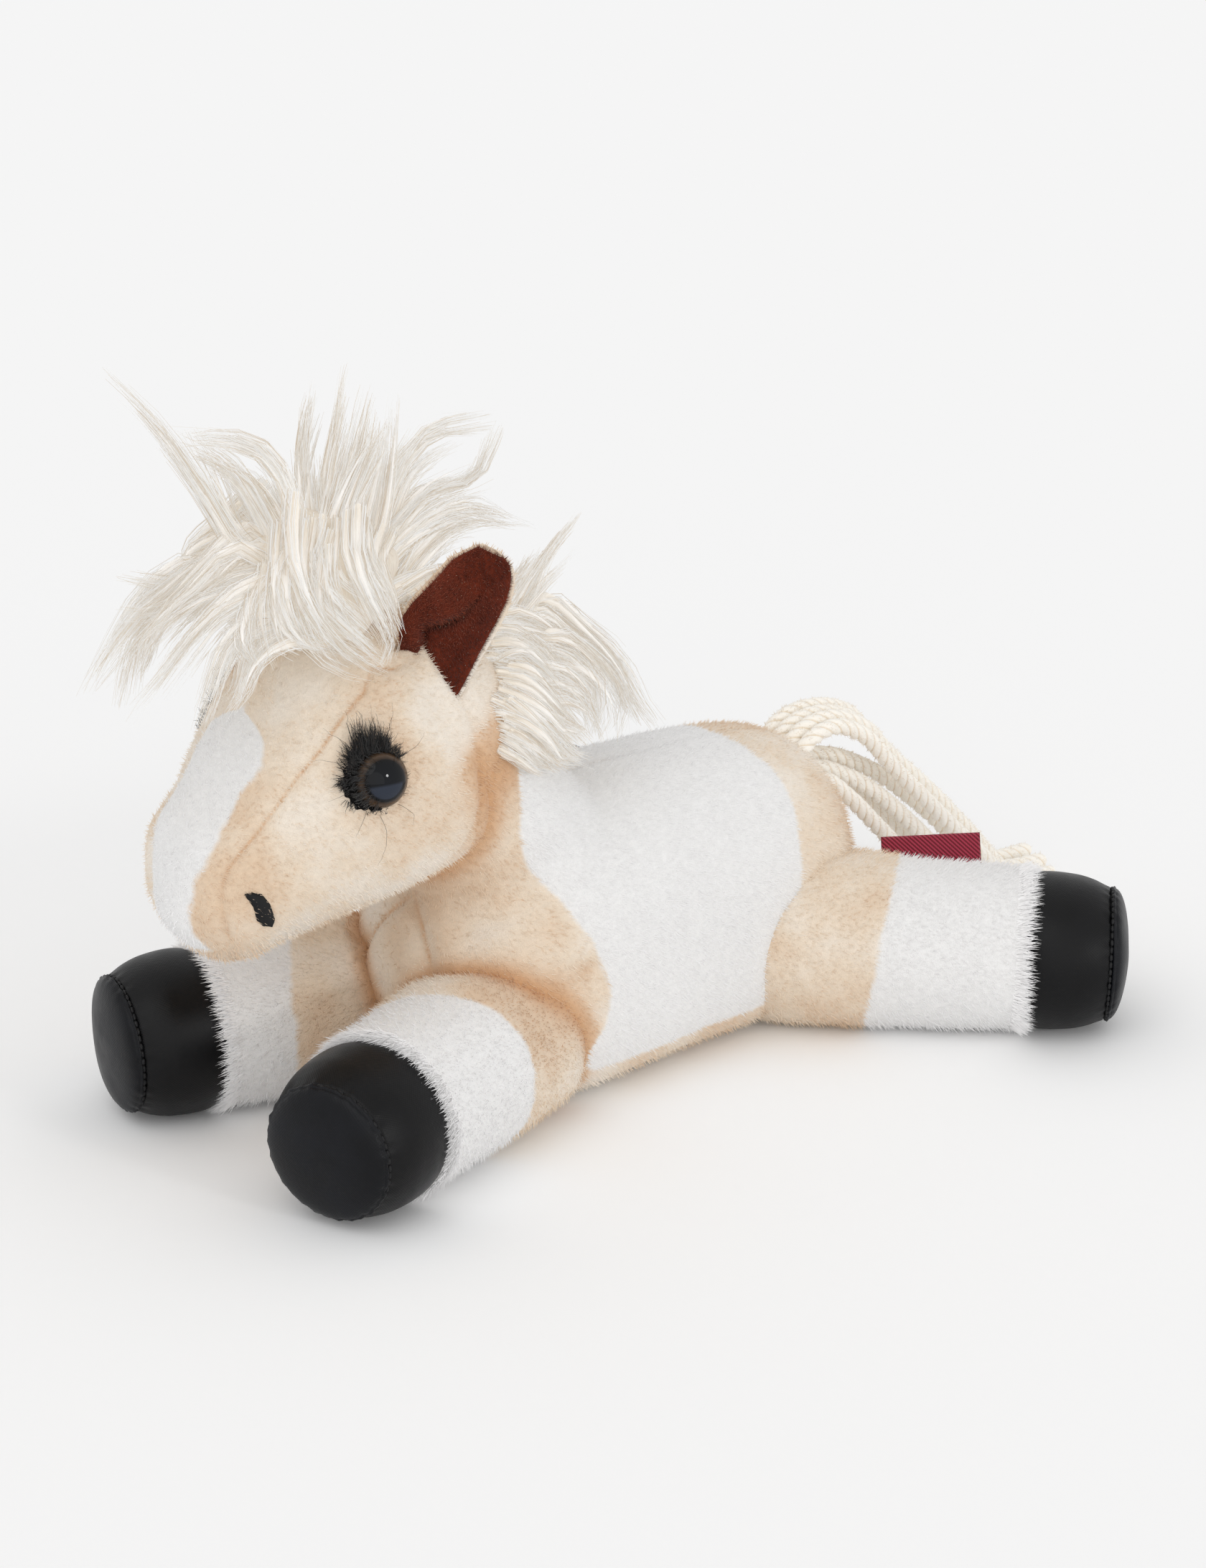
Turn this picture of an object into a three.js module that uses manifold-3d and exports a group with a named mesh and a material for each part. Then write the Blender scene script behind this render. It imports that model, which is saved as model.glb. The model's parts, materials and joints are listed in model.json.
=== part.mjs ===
// A stuffed toy horse that lies on its belly with its legs spread.
// Millimetres. The horse faces -X, its left side is -Y, and Z goes up from the floor it lies on.
// The origin is on the floor, under the middle of the toy's box, with the tail cords left out.
import * as THREE from "three";
import { mergeVertices } from "three/addons/utils/BufferGeometryUtils.js";
import Module from "manifold-3d";

const wasm = await Module();
wasm.setup();
const { Manifold, Mesh: SolidMesh } = wasm;
const inRadians = (angle) => THREE.MathUtils.degToRad(angle);

// Sizes that many pieces share
const coverWall = 2.4; // plush cloth with its pile
const seamGap = 0.4; // left between pieces that touch or turn on each other
const seatGap = 0.9; // left round the balls that covers turn on
const fillGap = 2; // left round the coarser filling where covers turn
const floorFlat = 0.5; // how far a soft underside is pressed flat on the floor
const overrun = 5; // how far a cutter goes past what it cuts
const sweepPastAngle = inRadians(1); // that the room for a joint's motion goes past its range
const weldShare = 1e-5; // points nearer than this share of the torso are one point
const sidePair = { left: -1, right: 1 };

// Torso
const torso = { length: 177, width: 87, height: 92, chestX: -75 };
const torsoRoundShare = 0.15;
const torsoSquareness = 2.3;
const bellySquareness = 3.5;
const torsoShares = [
  // along the length, half width, underside, back
  [0, 0.68, 0.14, 0.72],
  [0.1, 0.84, 0.04, 0.88],
  [0.25, 0.99, 0, 0.98],
  [0.42, 1, 0, 1],
  [0.58, 0.94, 0, 0.99],
  [0.73, 0.91, 0, 0.97],
  [0.85, 0.86, 0.03, 0.93],
  [0.94, 0.72, 0.12, 0.84],
  [1, 0.52, 0.28, 0.7],
];

// Head, a form along an axis that drops from the back of the head to the muzzle
const head = {
  length: 110,
  width: 76,
  crown: 50,
  backRadius: 36,
  behindChest: 22,
  overWithers: 29,
  dropAngle: inRadians(19),
  nodUpAngle: inRadians(15),
  nodDownAngle: inRadians(4),
};
const headPivotShares = { along: 0.14, lift: 0.15 };
const headRoundShare = 0.17;
const headSquareness = 2.2;
const headShares = [
  // along the axis, half width, above the axis, below the axis
  [0, 0.8, 0.62, 0.66],
  [0.15, 0.95, 0.86, 0.74],
  [0.3, 1, 1, 0.66],
  [0.45, 0.97, 0.95, 0.6],
  [0.6, 0.86, 0.77, 0.54],
  [0.75, 0.72, 0.6, 0.5],
  [0.9, 0.64, 0.5, 0.45],
  [1, 0.54, 0.4, 0.38],
];

// Neck, from the withers to the round back of the head
const neck = { halfWidth: 34, halfDepth: 29, mouthRadius: 12, turnAngle: inRadians(15) };
const neckTuckShare = 0.5; // how far the neck's form starts below its joint, of its depth
const neckFootShares = { along: 0.21, rise: 0.88 }; // on the torso

// Legs, each a sleeve from a rounded shoulder or hip to the rim of its hoof
const leg = { radius: 27 };
const legShares = [
  // along the sleeve, radius
  [0, 1],
  [0.3, 1.01],
  [0.65, 0.97],
  [1, 0.93],
];
const hoof = { radius: 24.6, length: 27, wall: 1.2, soleBulge: 5, seamRidge: 0.8 };
const hoofShares = [
  // along the wall, radius
  [0, 0.93],
  [0.25, 0.995],
  [0.6, 0.99],
  [1, 0.86],
];
const legAsideShare = 0.9; // from the middle of the torso to a leg's pivot, of the leg's radius
const legs = [
  // the heading is the way it points, turned from the tail end
  {
    name: "front_left", side: -1, alongShare: 0.13, sleeve: 60,
    headingAngle: inRadians(197), outAngle: inRadians(15), inwardAngle: inRadians(6),
  },
  {
    name: "front_right", side: 1, alongShare: 0.13, sleeve: 60,
    headingAngle: inRadians(163), outAngle: inRadians(15), inwardAngle: inRadians(6),
  },
  {
    name: "hind_left", side: -1, alongShare: 0.785, sleeve: 73,
    headingAngle: inRadians(-46), outAngle: inRadians(12), inwardAngle: inRadians(8),
  },
  {
    name: "hind_right", side: 1, alongShare: 0.763, sleeve: 73,
    headingAngle: inRadians(76), outAngle: inRadians(8), inwardAngle: inRadians(8),
  },
];

// Ears, each a cupped leaf of plush with a felt lining
const ear = { length: 41, halfWidth: 14, cup: 11, lining: 1.4, root: 7, foldAngle: inRadians(12) };
const earLiningShare = 0.86; // of the ear's width
const earSetShare = 0.5; // how far the bottom of the cup is behind the fold line, of its depth
const earLeanShares = { back: 0.68, out: 0 }; // of its rise
const earFacingShares = { out: 1, up: 0.3 }; // of how far it faces ahead
const earPlaceShares = { along: 0.17, lift: 0.82, across: 0.52 }; // on the head, from its axis
const earShares = [
  // along the ear, half width, depth of the cup
  [0, 0.88, 0.8],
  [0.3, 0.95, 1],
  [0.6, 1, 0.8],
  [0.85, 0.8, 0.4],
  [1, 0.42, 0.15],
];

// Eyes and what holds them
const eye = { radius: 8.8, height: 6.2, shank: 2.3, shankLength: 13, ridge: 0.5, ridgeCount: 3 };
const eyePlaceShares = { along: 0.43, lift: 0.41 };
const washer = { radius: 8, thickness: 1.6, toothCount: 10, bite: 0.3 };
const lashPatch = { radius: 11, height: 1.4, stretchShare: 1.12 };

// Nostrils, sewn in satin stitch
const nostril = { length: 10, width: 7.5, height: 1.6 };
const nostrilPlaceShares = { along: 0.817, lift: -0.06 };

// Forelock and mane, each a core of long pile with its main locks
const lockTipShare = 0.16;
const lockSwellShare = 0.25; // in the middle of a lock
const forelock = { length: 72, width: 50, height: 60, reach: 80, partingLeanAngle: inRadians(18) };
const forelockPlaceShares = { along: 0.25, lift: 1.35 };
const forelockLockShares = [
  // radius, root, bend and tip, of the reach from the middle of the forelock
  [0.11, [-0.09, 0, 0.15], [-0.49, 0.04, 0.5], [-0.81, 0.06, 0.82]],
  [0.11, [0.04, 0.05, 0.12], [0.03, 0.1, 0.4], [0.06, 0.1, 0.66]],
  [0.12, [0.11, -0.05, 0.12], [0.16, -0.07, 0.42], [0.26, -0.06, 0.69]],
  [0.11, [0.21, 0.03, 0.1], [0.39, 0.04, 0.34], [0.66, 0.05, 0.47]],
  [0.11, [-0.19, -0.1, 0.03], [-0.56, -0.17, 0.2], [-0.91, -0.15, 0.19]],
  [0.11, [-0.21, 0.1, -0.03], [-0.59, 0.17, 0.03], [-0.94, 0.17, -0.05]],
  [0.1, [-0.19, -0.15, -0.1], [-0.46, -0.25, -0.1], [-0.74, -0.25, -0.25]],
  [0.1, [-0.14, 0.15, -0.12], [-0.44, 0.28, -0.17], [-0.69, 0.3, -0.35]],
  [0.1, [0.04, -0.2, -0.05], [-0.04, -0.31, -0.12], [-0.03, -0.35, -0.23]],
  [0.09, [-0.24, 0, -0.15], [-0.44, 0, -0.23], [-0.61, -0.01, -0.38]],
];
const mane = { radius: 16, reach: 100, partingGapAngle: inRadians(1) };
const maneThinningShare = 0.7; // towards the ends of its core
const maneSpineShares = [[0.18, 0, 0.4], [0.34, 0, 0.25], [0.48, 0, 0.03], [0.62, 0, -0.16]];
const maneLockShares = [
  // radius, root, bend and tip, of the reach from the top of the neck
  [0.09, [0.28, 0, 0.36], [0.47, 0.02, 0.56], [0.66, 0.04, 0.7]],
  [0.1, [0.28, 0, 0.35], [0.52, 0.05, 0.49], [0.78, 0.09, 0.45]],
  [0.1, [0.38, 0, 0.23], [0.64, -0.03, 0.29], [0.86, -0.04, 0.17]],
  [0.1, [0.46, 0.04, 0.11], [0.74, 0.08, 0.09], [0.96, 0.09, -0.07]],
  [0.09, [0.54, 0, -0.05], [0.8, 0, -0.1], [1.04, 0, -0.24]],
  [0.08, [0.44, -0.12, 0.13], [0.56, -0.2, 0.01], [0.7, -0.22, -0.15]],
  [0.08, [0.44, 0.12, 0.13], [0.56, 0.2, 0.01], [0.7, 0.22, -0.15]],
];

// Tail cords, in two rows. Each row starts at a plug sewn into the rump, and lies free from there.
// Their points are chosen by hand, and measured from the floor under the end of the rump.
const cordRadius = 2.4;
const cordStepCount = 10;
const tailProud = 0.8; // of the plugs that hold the cords
const tailRows = { upper: [0, 1, 2, 3], lower: [4, 5, 6, 7] };
const tailCords = [
  [
    [-20, 8, 75], [-10, 8, 82.5], [4, 8, 83.5], [20, 9, 77.5], [33, 11, 64.5],
    [52, 13, 47.5], [73, 14, 26], [92, 15, 6.5], [113, 16, 3],
  ],
  [
    [-20, 2.7, 76], [-10, 2.7, 82.5], [3, 2.7, 83], [17, 3, 77], [28.5, 4, 65],
    [48, 5, 47.5], [69, 6, 26], [88, 6, 7], [110, 6, 3],
  ],
  [
    [-20, -2.7, 76], [-10, -2.7, 82.5], [2, -2.7, 83], [16, -3, 76.5], [27, -3, 65],
    [46, -3.3, 47.5], [66, -3.6, 27], [85, -4, 8], [104, -4, 3],
  ],
  [
    [-20, -8, 75], [-10, -8, 81.5], [0, -8, 82], [12, -8.5, 75.5], [22, -9, 64.5],
    [39, -10, 47], [61, -11, 25], [79, -12, 8], [96, -13, 3],
  ],
  [
    [-16, 3, 67], [-5, 3, 70], [6, 3, 68], [17.5, 2.8, 62.7], [28.7, 2.5, 55.8],
    [38.5, 2.2, 48], [49, 2, 39], [59, 1.6, 29], [70, 1.2, 14], [86, 1, 3],
  ],
  [
    [-16, -3, 66], [-5, -3, 68], [7, -3.5, 62.7], [16, -4, 57], [26, -4.7, 48.7],
    [38.5, -5.5, 36.6], [51, -5.8, 24], [65, -6, 11], [80, -7, 3],
  ],
  [
    [-18, -9, 65], [-7, -9, 66], [2, -10, 59], [13, -11, 47.5],
    [25, -12, 34.5], [38, -13, 21], [50, -14, 10], [70, -16, 3],
  ],
  [
    [-16, 9, 66], [-5, 9, 68], [3, 8.7, 65], [10, 8, 59.5], [17, 6.5, 54.5], [23.5, 5, 48.4],
    [30.3, 3.5, 41.3], [39, 2, 32.7], [50, 1, 21], [60, 0.5, 10.5], [75, 0, 3],
  ],
];

// A bare ribbon label, folded at its top and sewn along the rear seam of the left hind leg
const label = { leg: "hind_left", length: 31, height: 9.4, thickness: 0.8, foldWidth: 2.2, tuck: 3 };
const labelPlaceShares = { along: 0.4, round: 0.52, lean: 0.3 }; // of the sleeve, and of a right angle
const labelTiltAngle = inRadians(6); // its end by the hoof stands higher

// Turns a table of shares into a smooth curve. The first column is the place along it.
function shareAt(table, t) {
  let row = 0;
  while (row < table.length - 2 && t > table[row + 1][0]) row++;
  const here = table[row];
  const next = table[row + 1];
  const before = table[Math.max(row - 1, 0)];
  const after = table[Math.min(row + 2, table.length - 1)];
  const span = next[0] - here[0];
  const u = (t - here[0]) / span;
  return here.slice(1).map((value, k) => {
    const end = next[k + 1];
    const slopeHere = ((end - before[k + 1]) / (next[0] - before[0])) * span;
    const slopeNext = ((after[k + 1] - value) / (after[0] - here[0])) * span;
    const rise = end - value;
    const curve = 3 * rise - 2 * slopeHere - slopeNext;
    const twist = slopeHere + slopeNext - 2 * rise;
    return value + u * (slopeHere + u * (curve + u * twist));
  });
}

// One in the middle of a form, falling to nothing in a round end
function roundEnds(t, endShare) {
  const inset = Math.min(t, 1 - t) / endShare;
  return inset >= 1 ? 1 : Math.sqrt(1 - (1 - inset) ** 2);
}

// Stations from 0 to 1, closer together towards the ends
const eased = (i, count) => (1 - Math.cos((Math.PI * i) / count)) / 2;

const vec = (x, y, z) => new THREE.Vector3(x, y, z);
const axisX = vec(1, 0, 0);
const axisY = vec(0, 1, 0);
const axisZ = vec(0, 0, 1);
const middleOf = (points) => points.reduce((sum, p) => sum.add(p), vec(0, 0, 0)).divideScalar(points.length);

// A closed loop of points, round or a little square
function ring(centre, across, upward, halfWidth, rise, fall, squareness, sides, lowSquareness = squareness) {
  const points = [];
  for (let i = 0; i < sides; i++) {
    const angle = (2 * Math.PI * i) / sides;
    const c = Math.cos(angle);
    const s = Math.sin(angle);
    const power = 2 / (s > 0 ? squareness : lowSquareness);
    const sideways = halfWidth * Math.sign(c) * Math.abs(c) ** power;
    const height = (s > 0 ? rise : fall) * Math.sign(s) * Math.abs(s) ** power;
    points.push(centre.clone().addScaledVector(across, sideways).addScaledVector(upward, height));
  }
  return points;
}
const circle = (centre, across, upward, radius, sides) =>
  ring(centre, across, upward, radius, radius, radius, 2, sides);

// A solid from points and triangles, turned to face outwards
function solidOf(points, triangles) {
  const vertProperties = new Float32Array(points.flatMap((p) => [p.x, p.y, p.z]));
  const make = (order) =>
    new Manifold(new SolidMesh({ numProp: 3, vertProperties, triVerts: new Uint32Array(order) }));
  const made = make(triangles.flat());
  return made.volume() < 0 ? make(triangles.flatMap(([a, b, c]) => [a, c, b])) : made;
}

// A skin over rings of points, closed at each end to a point
function loft(rings, firstTip = middleOf(rings[0]), lastTip = middleOf(rings.at(-1))) {
  const sides = rings[0].length;
  const points = [firstTip, ...rings.flat(), lastTip];
  const last = points.length - 1;
  const triangles = [];
  for (let i = 0; i < sides; i++) {
    const j = (i + 1) % sides;
    triangles.push([0, 1 + j, 1 + i]);
    for (let r = 0; r < rings.length - 1; r++) {
      const low = 1 + r * sides;
      const high = low + sides;
      triangles.push([low + i, low + j, high + i], [low + j, high + j, high + i]);
    }
    const end = last - sides;
    triangles.push([last, end + i, end + j]);
  }
  return solidOf(points, triangles);
}

// A sheet with a thickness, between two grids of points
function sheet(front, back) {
  const rows = front.length;
  const columns = front[0].length;
  const points = [...front.flat(), ...back.flat()];
  const behind = rows * columns;
  const at = (r, c) => r * columns + c;
  const triangles = [];
  const quad = (a, b, c, d) => triangles.push([a, b, c], [a, c, d]);
  for (let r = 0; r < rows - 1; r++) {
    for (let c = 0; c < columns - 1; c++) {
      quad(at(r, c), at(r, c + 1), at(r + 1, c + 1), at(r + 1, c));
      quad(behind + at(r, c), behind + at(r + 1, c), behind + at(r + 1, c + 1), behind + at(r, c + 1));
    }
    const right = columns - 1;
    quad(at(r, 0), at(r + 1, 0), behind + at(r + 1, 0), behind + at(r, 0));
    quad(at(r, right), behind + at(r, right), behind + at(r + 1, right), at(r + 1, right));
  }
  for (let c = 0; c < columns - 1; c++) {
    const top = rows - 1;
    quad(at(0, c), behind + at(0, c), behind + at(0, c + 1), at(0, c + 1));
    quad(at(top, c), at(top, c + 1), behind + at(top, c + 1), behind + at(top, c));
  }
  return solidOf(points, triangles);
}

// A solid from a three.js geometry
function solidFrom(geometry) {
  const bare = new THREE.BufferGeometry();
  bare.setAttribute("position", geometry.getAttribute("position"));
  bare.setIndex(geometry.getIndex());
  const welded = mergeVertices(bare, weldShare * torso.length);
  const place = welded.getAttribute("position");
  const points = [];
  for (let i = 0; i < place.count; i++) points.push(vec(0, 0, 0).fromBufferAttribute(place, i));
  const order = welded.getIndex().array;
  const triangles = [];
  for (let i = 0; i < order.length; i += 3) {
    const [a, b, c] = order.slice(i, i + 3);
    if (a !== b && b !== c && c !== a) triangles.push([a, b, c]);
  }
  return solidOf(points, triangles);
}

function geometryOf(solid) {
  const mesh = solid.getMesh();
  const geometry = new THREE.BufferGeometry();
  geometry.setAttribute("position", new THREE.BufferAttribute(mesh.vertProperties.slice(), mesh.numProp));
  geometry.setIndex(new THREE.BufferAttribute(mesh.triVerts.slice(), 1));
  return geometry;
}

// A copy of a solid in another place
function moved(solid, matrix) {
  const geometry = geometryOf(solid).applyMatrix4(matrix);
  const vertProperties = geometry.getAttribute("position").array;
  return new Manifold(new SolidMesh({ numProp: 3, vertProperties, triVerts: geometry.getIndex().array }));
}

const join = (solids) => solids.reduce((sum, solid) => sum.add(solid));
const cut = (solid, ...cutters) => cutters.reduce((rest, cutter) => rest.subtract(cutter), solid);

function ball(centre, radius, segments = 20) {
  const geometry = new THREE.SphereGeometry(radius, segments, segments / 2);
  geometry.rotateX(Math.PI / 2);
  geometry.translate(centre.x, centre.y, centre.z);
  return solidFrom(geometry);
}

// A round bar between two points, with another radius at its far end if one is given
function bar(from, to, radius, farRadius = radius, segments = 12) {
  const along = to.clone().sub(from);
  const geometry = new THREE.CylinderGeometry(farRadius, radius, along.length(), segments);
  geometry.applyQuaternion(new THREE.Quaternion().setFromUnitVectors(axisY, along.clone().normalize()));
  const centre = from.clone().lerp(to, 0.5);
  geometry.translate(centre.x, centre.y, centre.z);
  return solidFrom(geometry);
}

// A turned form whose axis is Z
function lathe(profile, segments) {
  const geometry = new THREE.LatheGeometry(profile, segments);
  geometry.rotateX(Math.PI / 2);
  return solidFrom(geometry);
}

// A turn about an axis through a point
function turnAbout(point, axis, angle) {
  return new THREE.Matrix4()
    .makeTranslation(point.x, point.y, point.z)
    .multiply(new THREE.Matrix4().makeRotationAxis(axis, angle))
    .multiply(new THREE.Matrix4().makeTranslation(-point.x, -point.y, -point.z));
}

// Copies of a neighbour, turned through a joint's range. They leave room for the motion when cut away.
function sweep(solid, point, axis, from, to, steps) {
  const copies = [];
  for (let i = 0; i <= steps; i++) {
    const angle = from + ((to - from) * i) / steps;
    copies.push(moved(solid, turnAbout(point, axis, angle)));
  }
  return copies;
}

const floorSize = 4 * torso.length;
const floorSlab = solidFrom(
  new THREE.BoxGeometry(floorSize, floorSize, floorSize).translate(0, 0, -floorSize / 2),
);

// Materials
const plain = (color, roughness) => new THREE.MeshStandardMaterial({ color, roughness, metalness: 0 });
const materials = {
  plush: plain(0xf0d9bd, 0.95),
  filling: plain(0xf7f7f5, 1),
  leather: plain(0x17171a, 0.42),
  felt: plain(0x4d1d12, 0.95),
  hair: plain(0xf3eee4, 0.8),
  cord: plain(0xe9e2d0, 0.9),
  eye: plain(0x1c1410, 0.08),
  washer: plain(0xe4e4e0, 0.5),
  lash: plain(0x0d0d0d, 0.9),
  thread: plain(0x101012, 0.6),
  ribbon: plain(0xa3142f, 0.7),
};

// The scene graph. Each moving body is a group at its joint.
const horse = new THREE.Group();
const toy = new THREE.Group();
horse.add(toy);
function body(name, joint, parent) {
  const group = new THREE.Group();
  group.name = `${name}_body`;
  parent.add(group);
  group.position.copy(joint);
  group.userData.joint = joint;
  if (parent.userData.joint) group.position.sub(parent.userData.joint);
  return group;
}
function piece(name, solid, material, group) {
  const joint = group.userData.joint;
  const geometry = geometryOf(solid).translate(-joint.x, -joint.y, -joint.z);
  const mesh = new THREE.Mesh(geometry, material);
  mesh.name = name;
  group.add(mesh);
}

// The torso's form, made larger or smaller all round by grow
function torsoForm(grow, stations, sides) {
  const rings = [];
  const place = (t) => torso.chestX - grow + t * (torso.length + 2 * grow);
  const middle = (t) => {
    const [, under, back] = shareAt(torsoShares, t);
    return ((under + back) * torso.height - floorFlat) / 2;
  };
  for (let i = 1; i < stations; i++) {
    const t = eased(i, stations);
    const [half, under, back] = shareAt(torsoShares, t);
    const round = roundEnds(t, torsoRoundShare);
    const halfWidth = (half * torso.width * round) / 2 + grow;
    const halfHeight = (((back - under) * torso.height + floorFlat) * round) / 2 + grow;
    const centre = vec(place(t), 0, middle(t));
    const squareness = [torsoSquareness, sides, bellySquareness];
    rings.push(ring(centre, axisY, axisZ, halfWidth, halfHeight, halfHeight, ...squareness));
  }
  return loft(rings, vec(place(0), 0, middle(0)), vec(place(1), 0, middle(1)));
}
const torsoOuter = torsoForm(0, 16, 24);
const torsoCutter = torsoForm(seamGap, 16, 24);
const torsoFillCutter = torsoForm(fillGap, 14, 18);

// The head's form, with the round back that the neck holds
const headDirection = vec(-Math.cos(head.dropAngle), 0, -Math.sin(head.dropAngle));
const headUpward = vec(-Math.sin(head.dropAngle), 0, Math.cos(head.dropAngle));
const headAxisAt = (t) =>
  vec(torso.chestX + head.behindChest, 0, torso.height + head.overWithers).addScaledVector(
    headDirection,
    t * head.length,
  );
const onHeadAxis = ({ along, lift }) => headAxisAt(along).addScaledVector(headUpward, lift * head.crown);
const neckTop = onHeadAxis(headPivotShares);
function headForm(grow, stations, sides) {
  const rings = [];
  const place = (t) => headAxisAt(t).addScaledVector(headDirection, (2 * t - 1) * grow);
  for (let i = 1; i < stations; i++) {
    const t = eased(i, stations);
    const [half, above, below] = shareAt(headShares, t);
    const round = roundEnds(t, headRoundShare);
    const halfWidth = (half * head.width * round) / 2 + grow;
    const rise = above * head.crown * round + grow;
    const fall = below * head.crown * round + grow;
    rings.push(ring(place(t), axisY, headUpward, halfWidth, rise, fall, headSquareness, sides));
  }
  return loft(rings, place(0), place(1));
}
const headFront = headForm(0, 15, 22);
const headFrontCutter = headForm(seamGap, 15, 22);
const headBack = ball(neckTop, head.backRadius, 22);
const headBackCutter = ball(neckTop, head.backRadius + seatGap, 22);

// Where a line from inside the head meets its surface, and which way the surface faces there
const bothSides = new THREE.MeshBasicMaterial({ side: THREE.DoubleSide });
const headSkin = new THREE.Mesh(geometryOf(headFront), bothSides);
const onHead = (from, direction) =>
  new THREE.Raycaster(from, direction).intersectObject(headSkin).at(-1).point;
function seatOnHead(place, direction, reach) {
  const from = onHeadAxis(place);
  const step = (axis, distance) => onHead(from.clone().addScaledVector(axis, distance), direction);
  const second = Math.abs(direction.z) > Math.abs(direction.y) ? axisY : headUpward;
  const normal = vec(0, 0, 0).crossVectors(
    step(headDirection, reach).sub(step(headDirection, -reach)),
    step(second, reach).sub(step(second, -reach)),
  );
  if (normal.dot(direction) < 0) normal.negate();
  return { at: onHead(from, direction), normal: normal.normalize() };
}

// A frame that stands on a point with its Z along a normal and its X as near as it can to a direction
function frameOn(point, normal, direction) {
  const y = vec(0, 0, 0).crossVectors(normal, direction).normalize();
  const x = vec(0, 0, 0).crossVectors(y, normal);
  return new THREE.Matrix4().makeBasis(x, y, normal).setPosition(point);
}

// Torso
const torsoBody = body("torso", vec(0, 0, 0), toy);
const neckFoot = vec(
  torso.chestX + neckFootShares.along * torso.length,
  0,
  neckFootShares.rise * torso.height,
);
const neckAlong = neckTop.clone().sub(neckFoot).normalize();
const shoulderRadius = leg.radius - coverWall - seamGap;
const legPivots = legs.map((l) => {
  const along = torso.chestX + l.alongShare * torso.length;
  return vec(along, l.side * legAsideShare * leg.radius, leg.radius - floorFlat);
});
const shoulders = legPivots.map((point) => ball(point, shoulderRadius, 14));
const mouthReach = neckAlong.clone().multiplyScalar(torso.height / 2);
const neckMouth = bar(neckFoot.clone().sub(mouthReach), neckFoot.clone().add(mouthReach), neck.mouthRadius);

const cordRoutes = tailCords.map((route) =>
  route.map(([x, y, z]) => vec(torso.chestX + torso.length + x, y, z)),
);
// a flat plug through the cover for each row of cords, along the way they leave
function tailPlug(row, grow) {
  const starts = row.map((k) => cordRoutes[k][0]);
  const middle = middleOf(starts);
  const direction = middleOf(row.map((k) => cordRoutes[k][1])).sub(middle).normalize();
  const spread = starts.map((point) => Math.abs(point.y - middle.y));
  const width = 2 * (Math.max(...spread) + cordRadius + grow);
  const height = 2 * (cordRadius + grow);
  const block = new THREE.BoxGeometry(4 * overrun, width, height);
  return moved(solidFrom(block), frameOn(middle, vec(0, 0, 0).crossVectors(direction, axisY), direction));
}
const plugHoles = Object.values(tailRows).map((row) => tailPlug(row, seamGap));
const torsoHollow = torsoForm(-coverWall, 10, 16);
const torsoCover = cut(join([torsoOuter, ...shoulders]), torsoHollow, neckMouth, ...plugHoles, floorSlab);
piece("torso_cover", torsoCover, materials.plush, torsoBody);
const torsoFill = torsoForm(-coverWall - 2 * seamGap, 10, 16);
piece("torso_filling", torsoFill, materials.filling, torsoBody);

// Neck, cut by the torso as it turns and by the head as it nods
const neckBody = body("neck", neckFoot, torsoBody);
function neckForm(grow, sides) {
  const deep = vec(0, 0, 0).crossVectors(neckAlong, axisY);
  const start = neckFoot.clone().addScaledVector(neckAlong, -neckTuckShare * neck.halfDepth);
  const rings = [start, neckTop].map((centre) => {
    const depth = neck.halfDepth + grow;
    return ring(centre, axisY, deep, neck.halfWidth + grow, depth, depth, 2, sides);
  });
  return loft(rings);
}
const nod = [-head.nodDownAngle - sweepPastAngle, head.nodUpAngle + sweepPastAngle];
const turn = neck.turnAngle + sweepPastAngle;
const neckCutters = [
  headBackCutter,
  ...sweep(torsoCutter, neckFoot, axisZ, -turn, turn, 2),
  ...sweep(headFrontCutter, neckTop, axisY, ...nod, 2),
];
const neckFillCutters = [
  ball(neckTop, head.backRadius + fillGap, 16),
  ...sweep(torsoFillCutter, neckFoot, axisZ, -turn, turn, 1),
  ...sweep(headForm(fillGap, 12, 18), neckTop, axisY, ...nod, 1),
];
const neckCover = cut(neckForm(0, 24), neckForm(-coverWall, 20), ...neckCutters);
piece("neck_cover", neckCover, materials.plush, neckBody);
const neckFill = cut(neckForm(-coverWall - 2 * seamGap, 20), ...neckFillCutters);
piece("neck_filling", neckFill, materials.filling, neckBody);

// Legs
const sleeveRadius = (t, grow) => shareAt(legShares, t)[0] * leg.radius + grow;
function sleeveForm(length, grow, stations, sides) {
  const rings = [];
  const rootStations = 4;
  const root = sleeveRadius(0, grow);
  for (let i = 1; i < rootStations; i++) {
    const angle = (Math.PI * i) / (2 * rootStations);
    rings.push(circle(vec(-root * Math.cos(angle), 0, 0), axisY, axisZ, root * Math.sin(angle), sides));
  }
  for (let i = 0; i <= stations; i++) {
    const t = i / stations;
    rings.push(circle(vec(t * length, 0, 0), axisY, axisZ, sleeveRadius(Math.min(t, 1), grow), sides));
  }
  return loft(rings, vec(-root, 0, 0));
}

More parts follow.
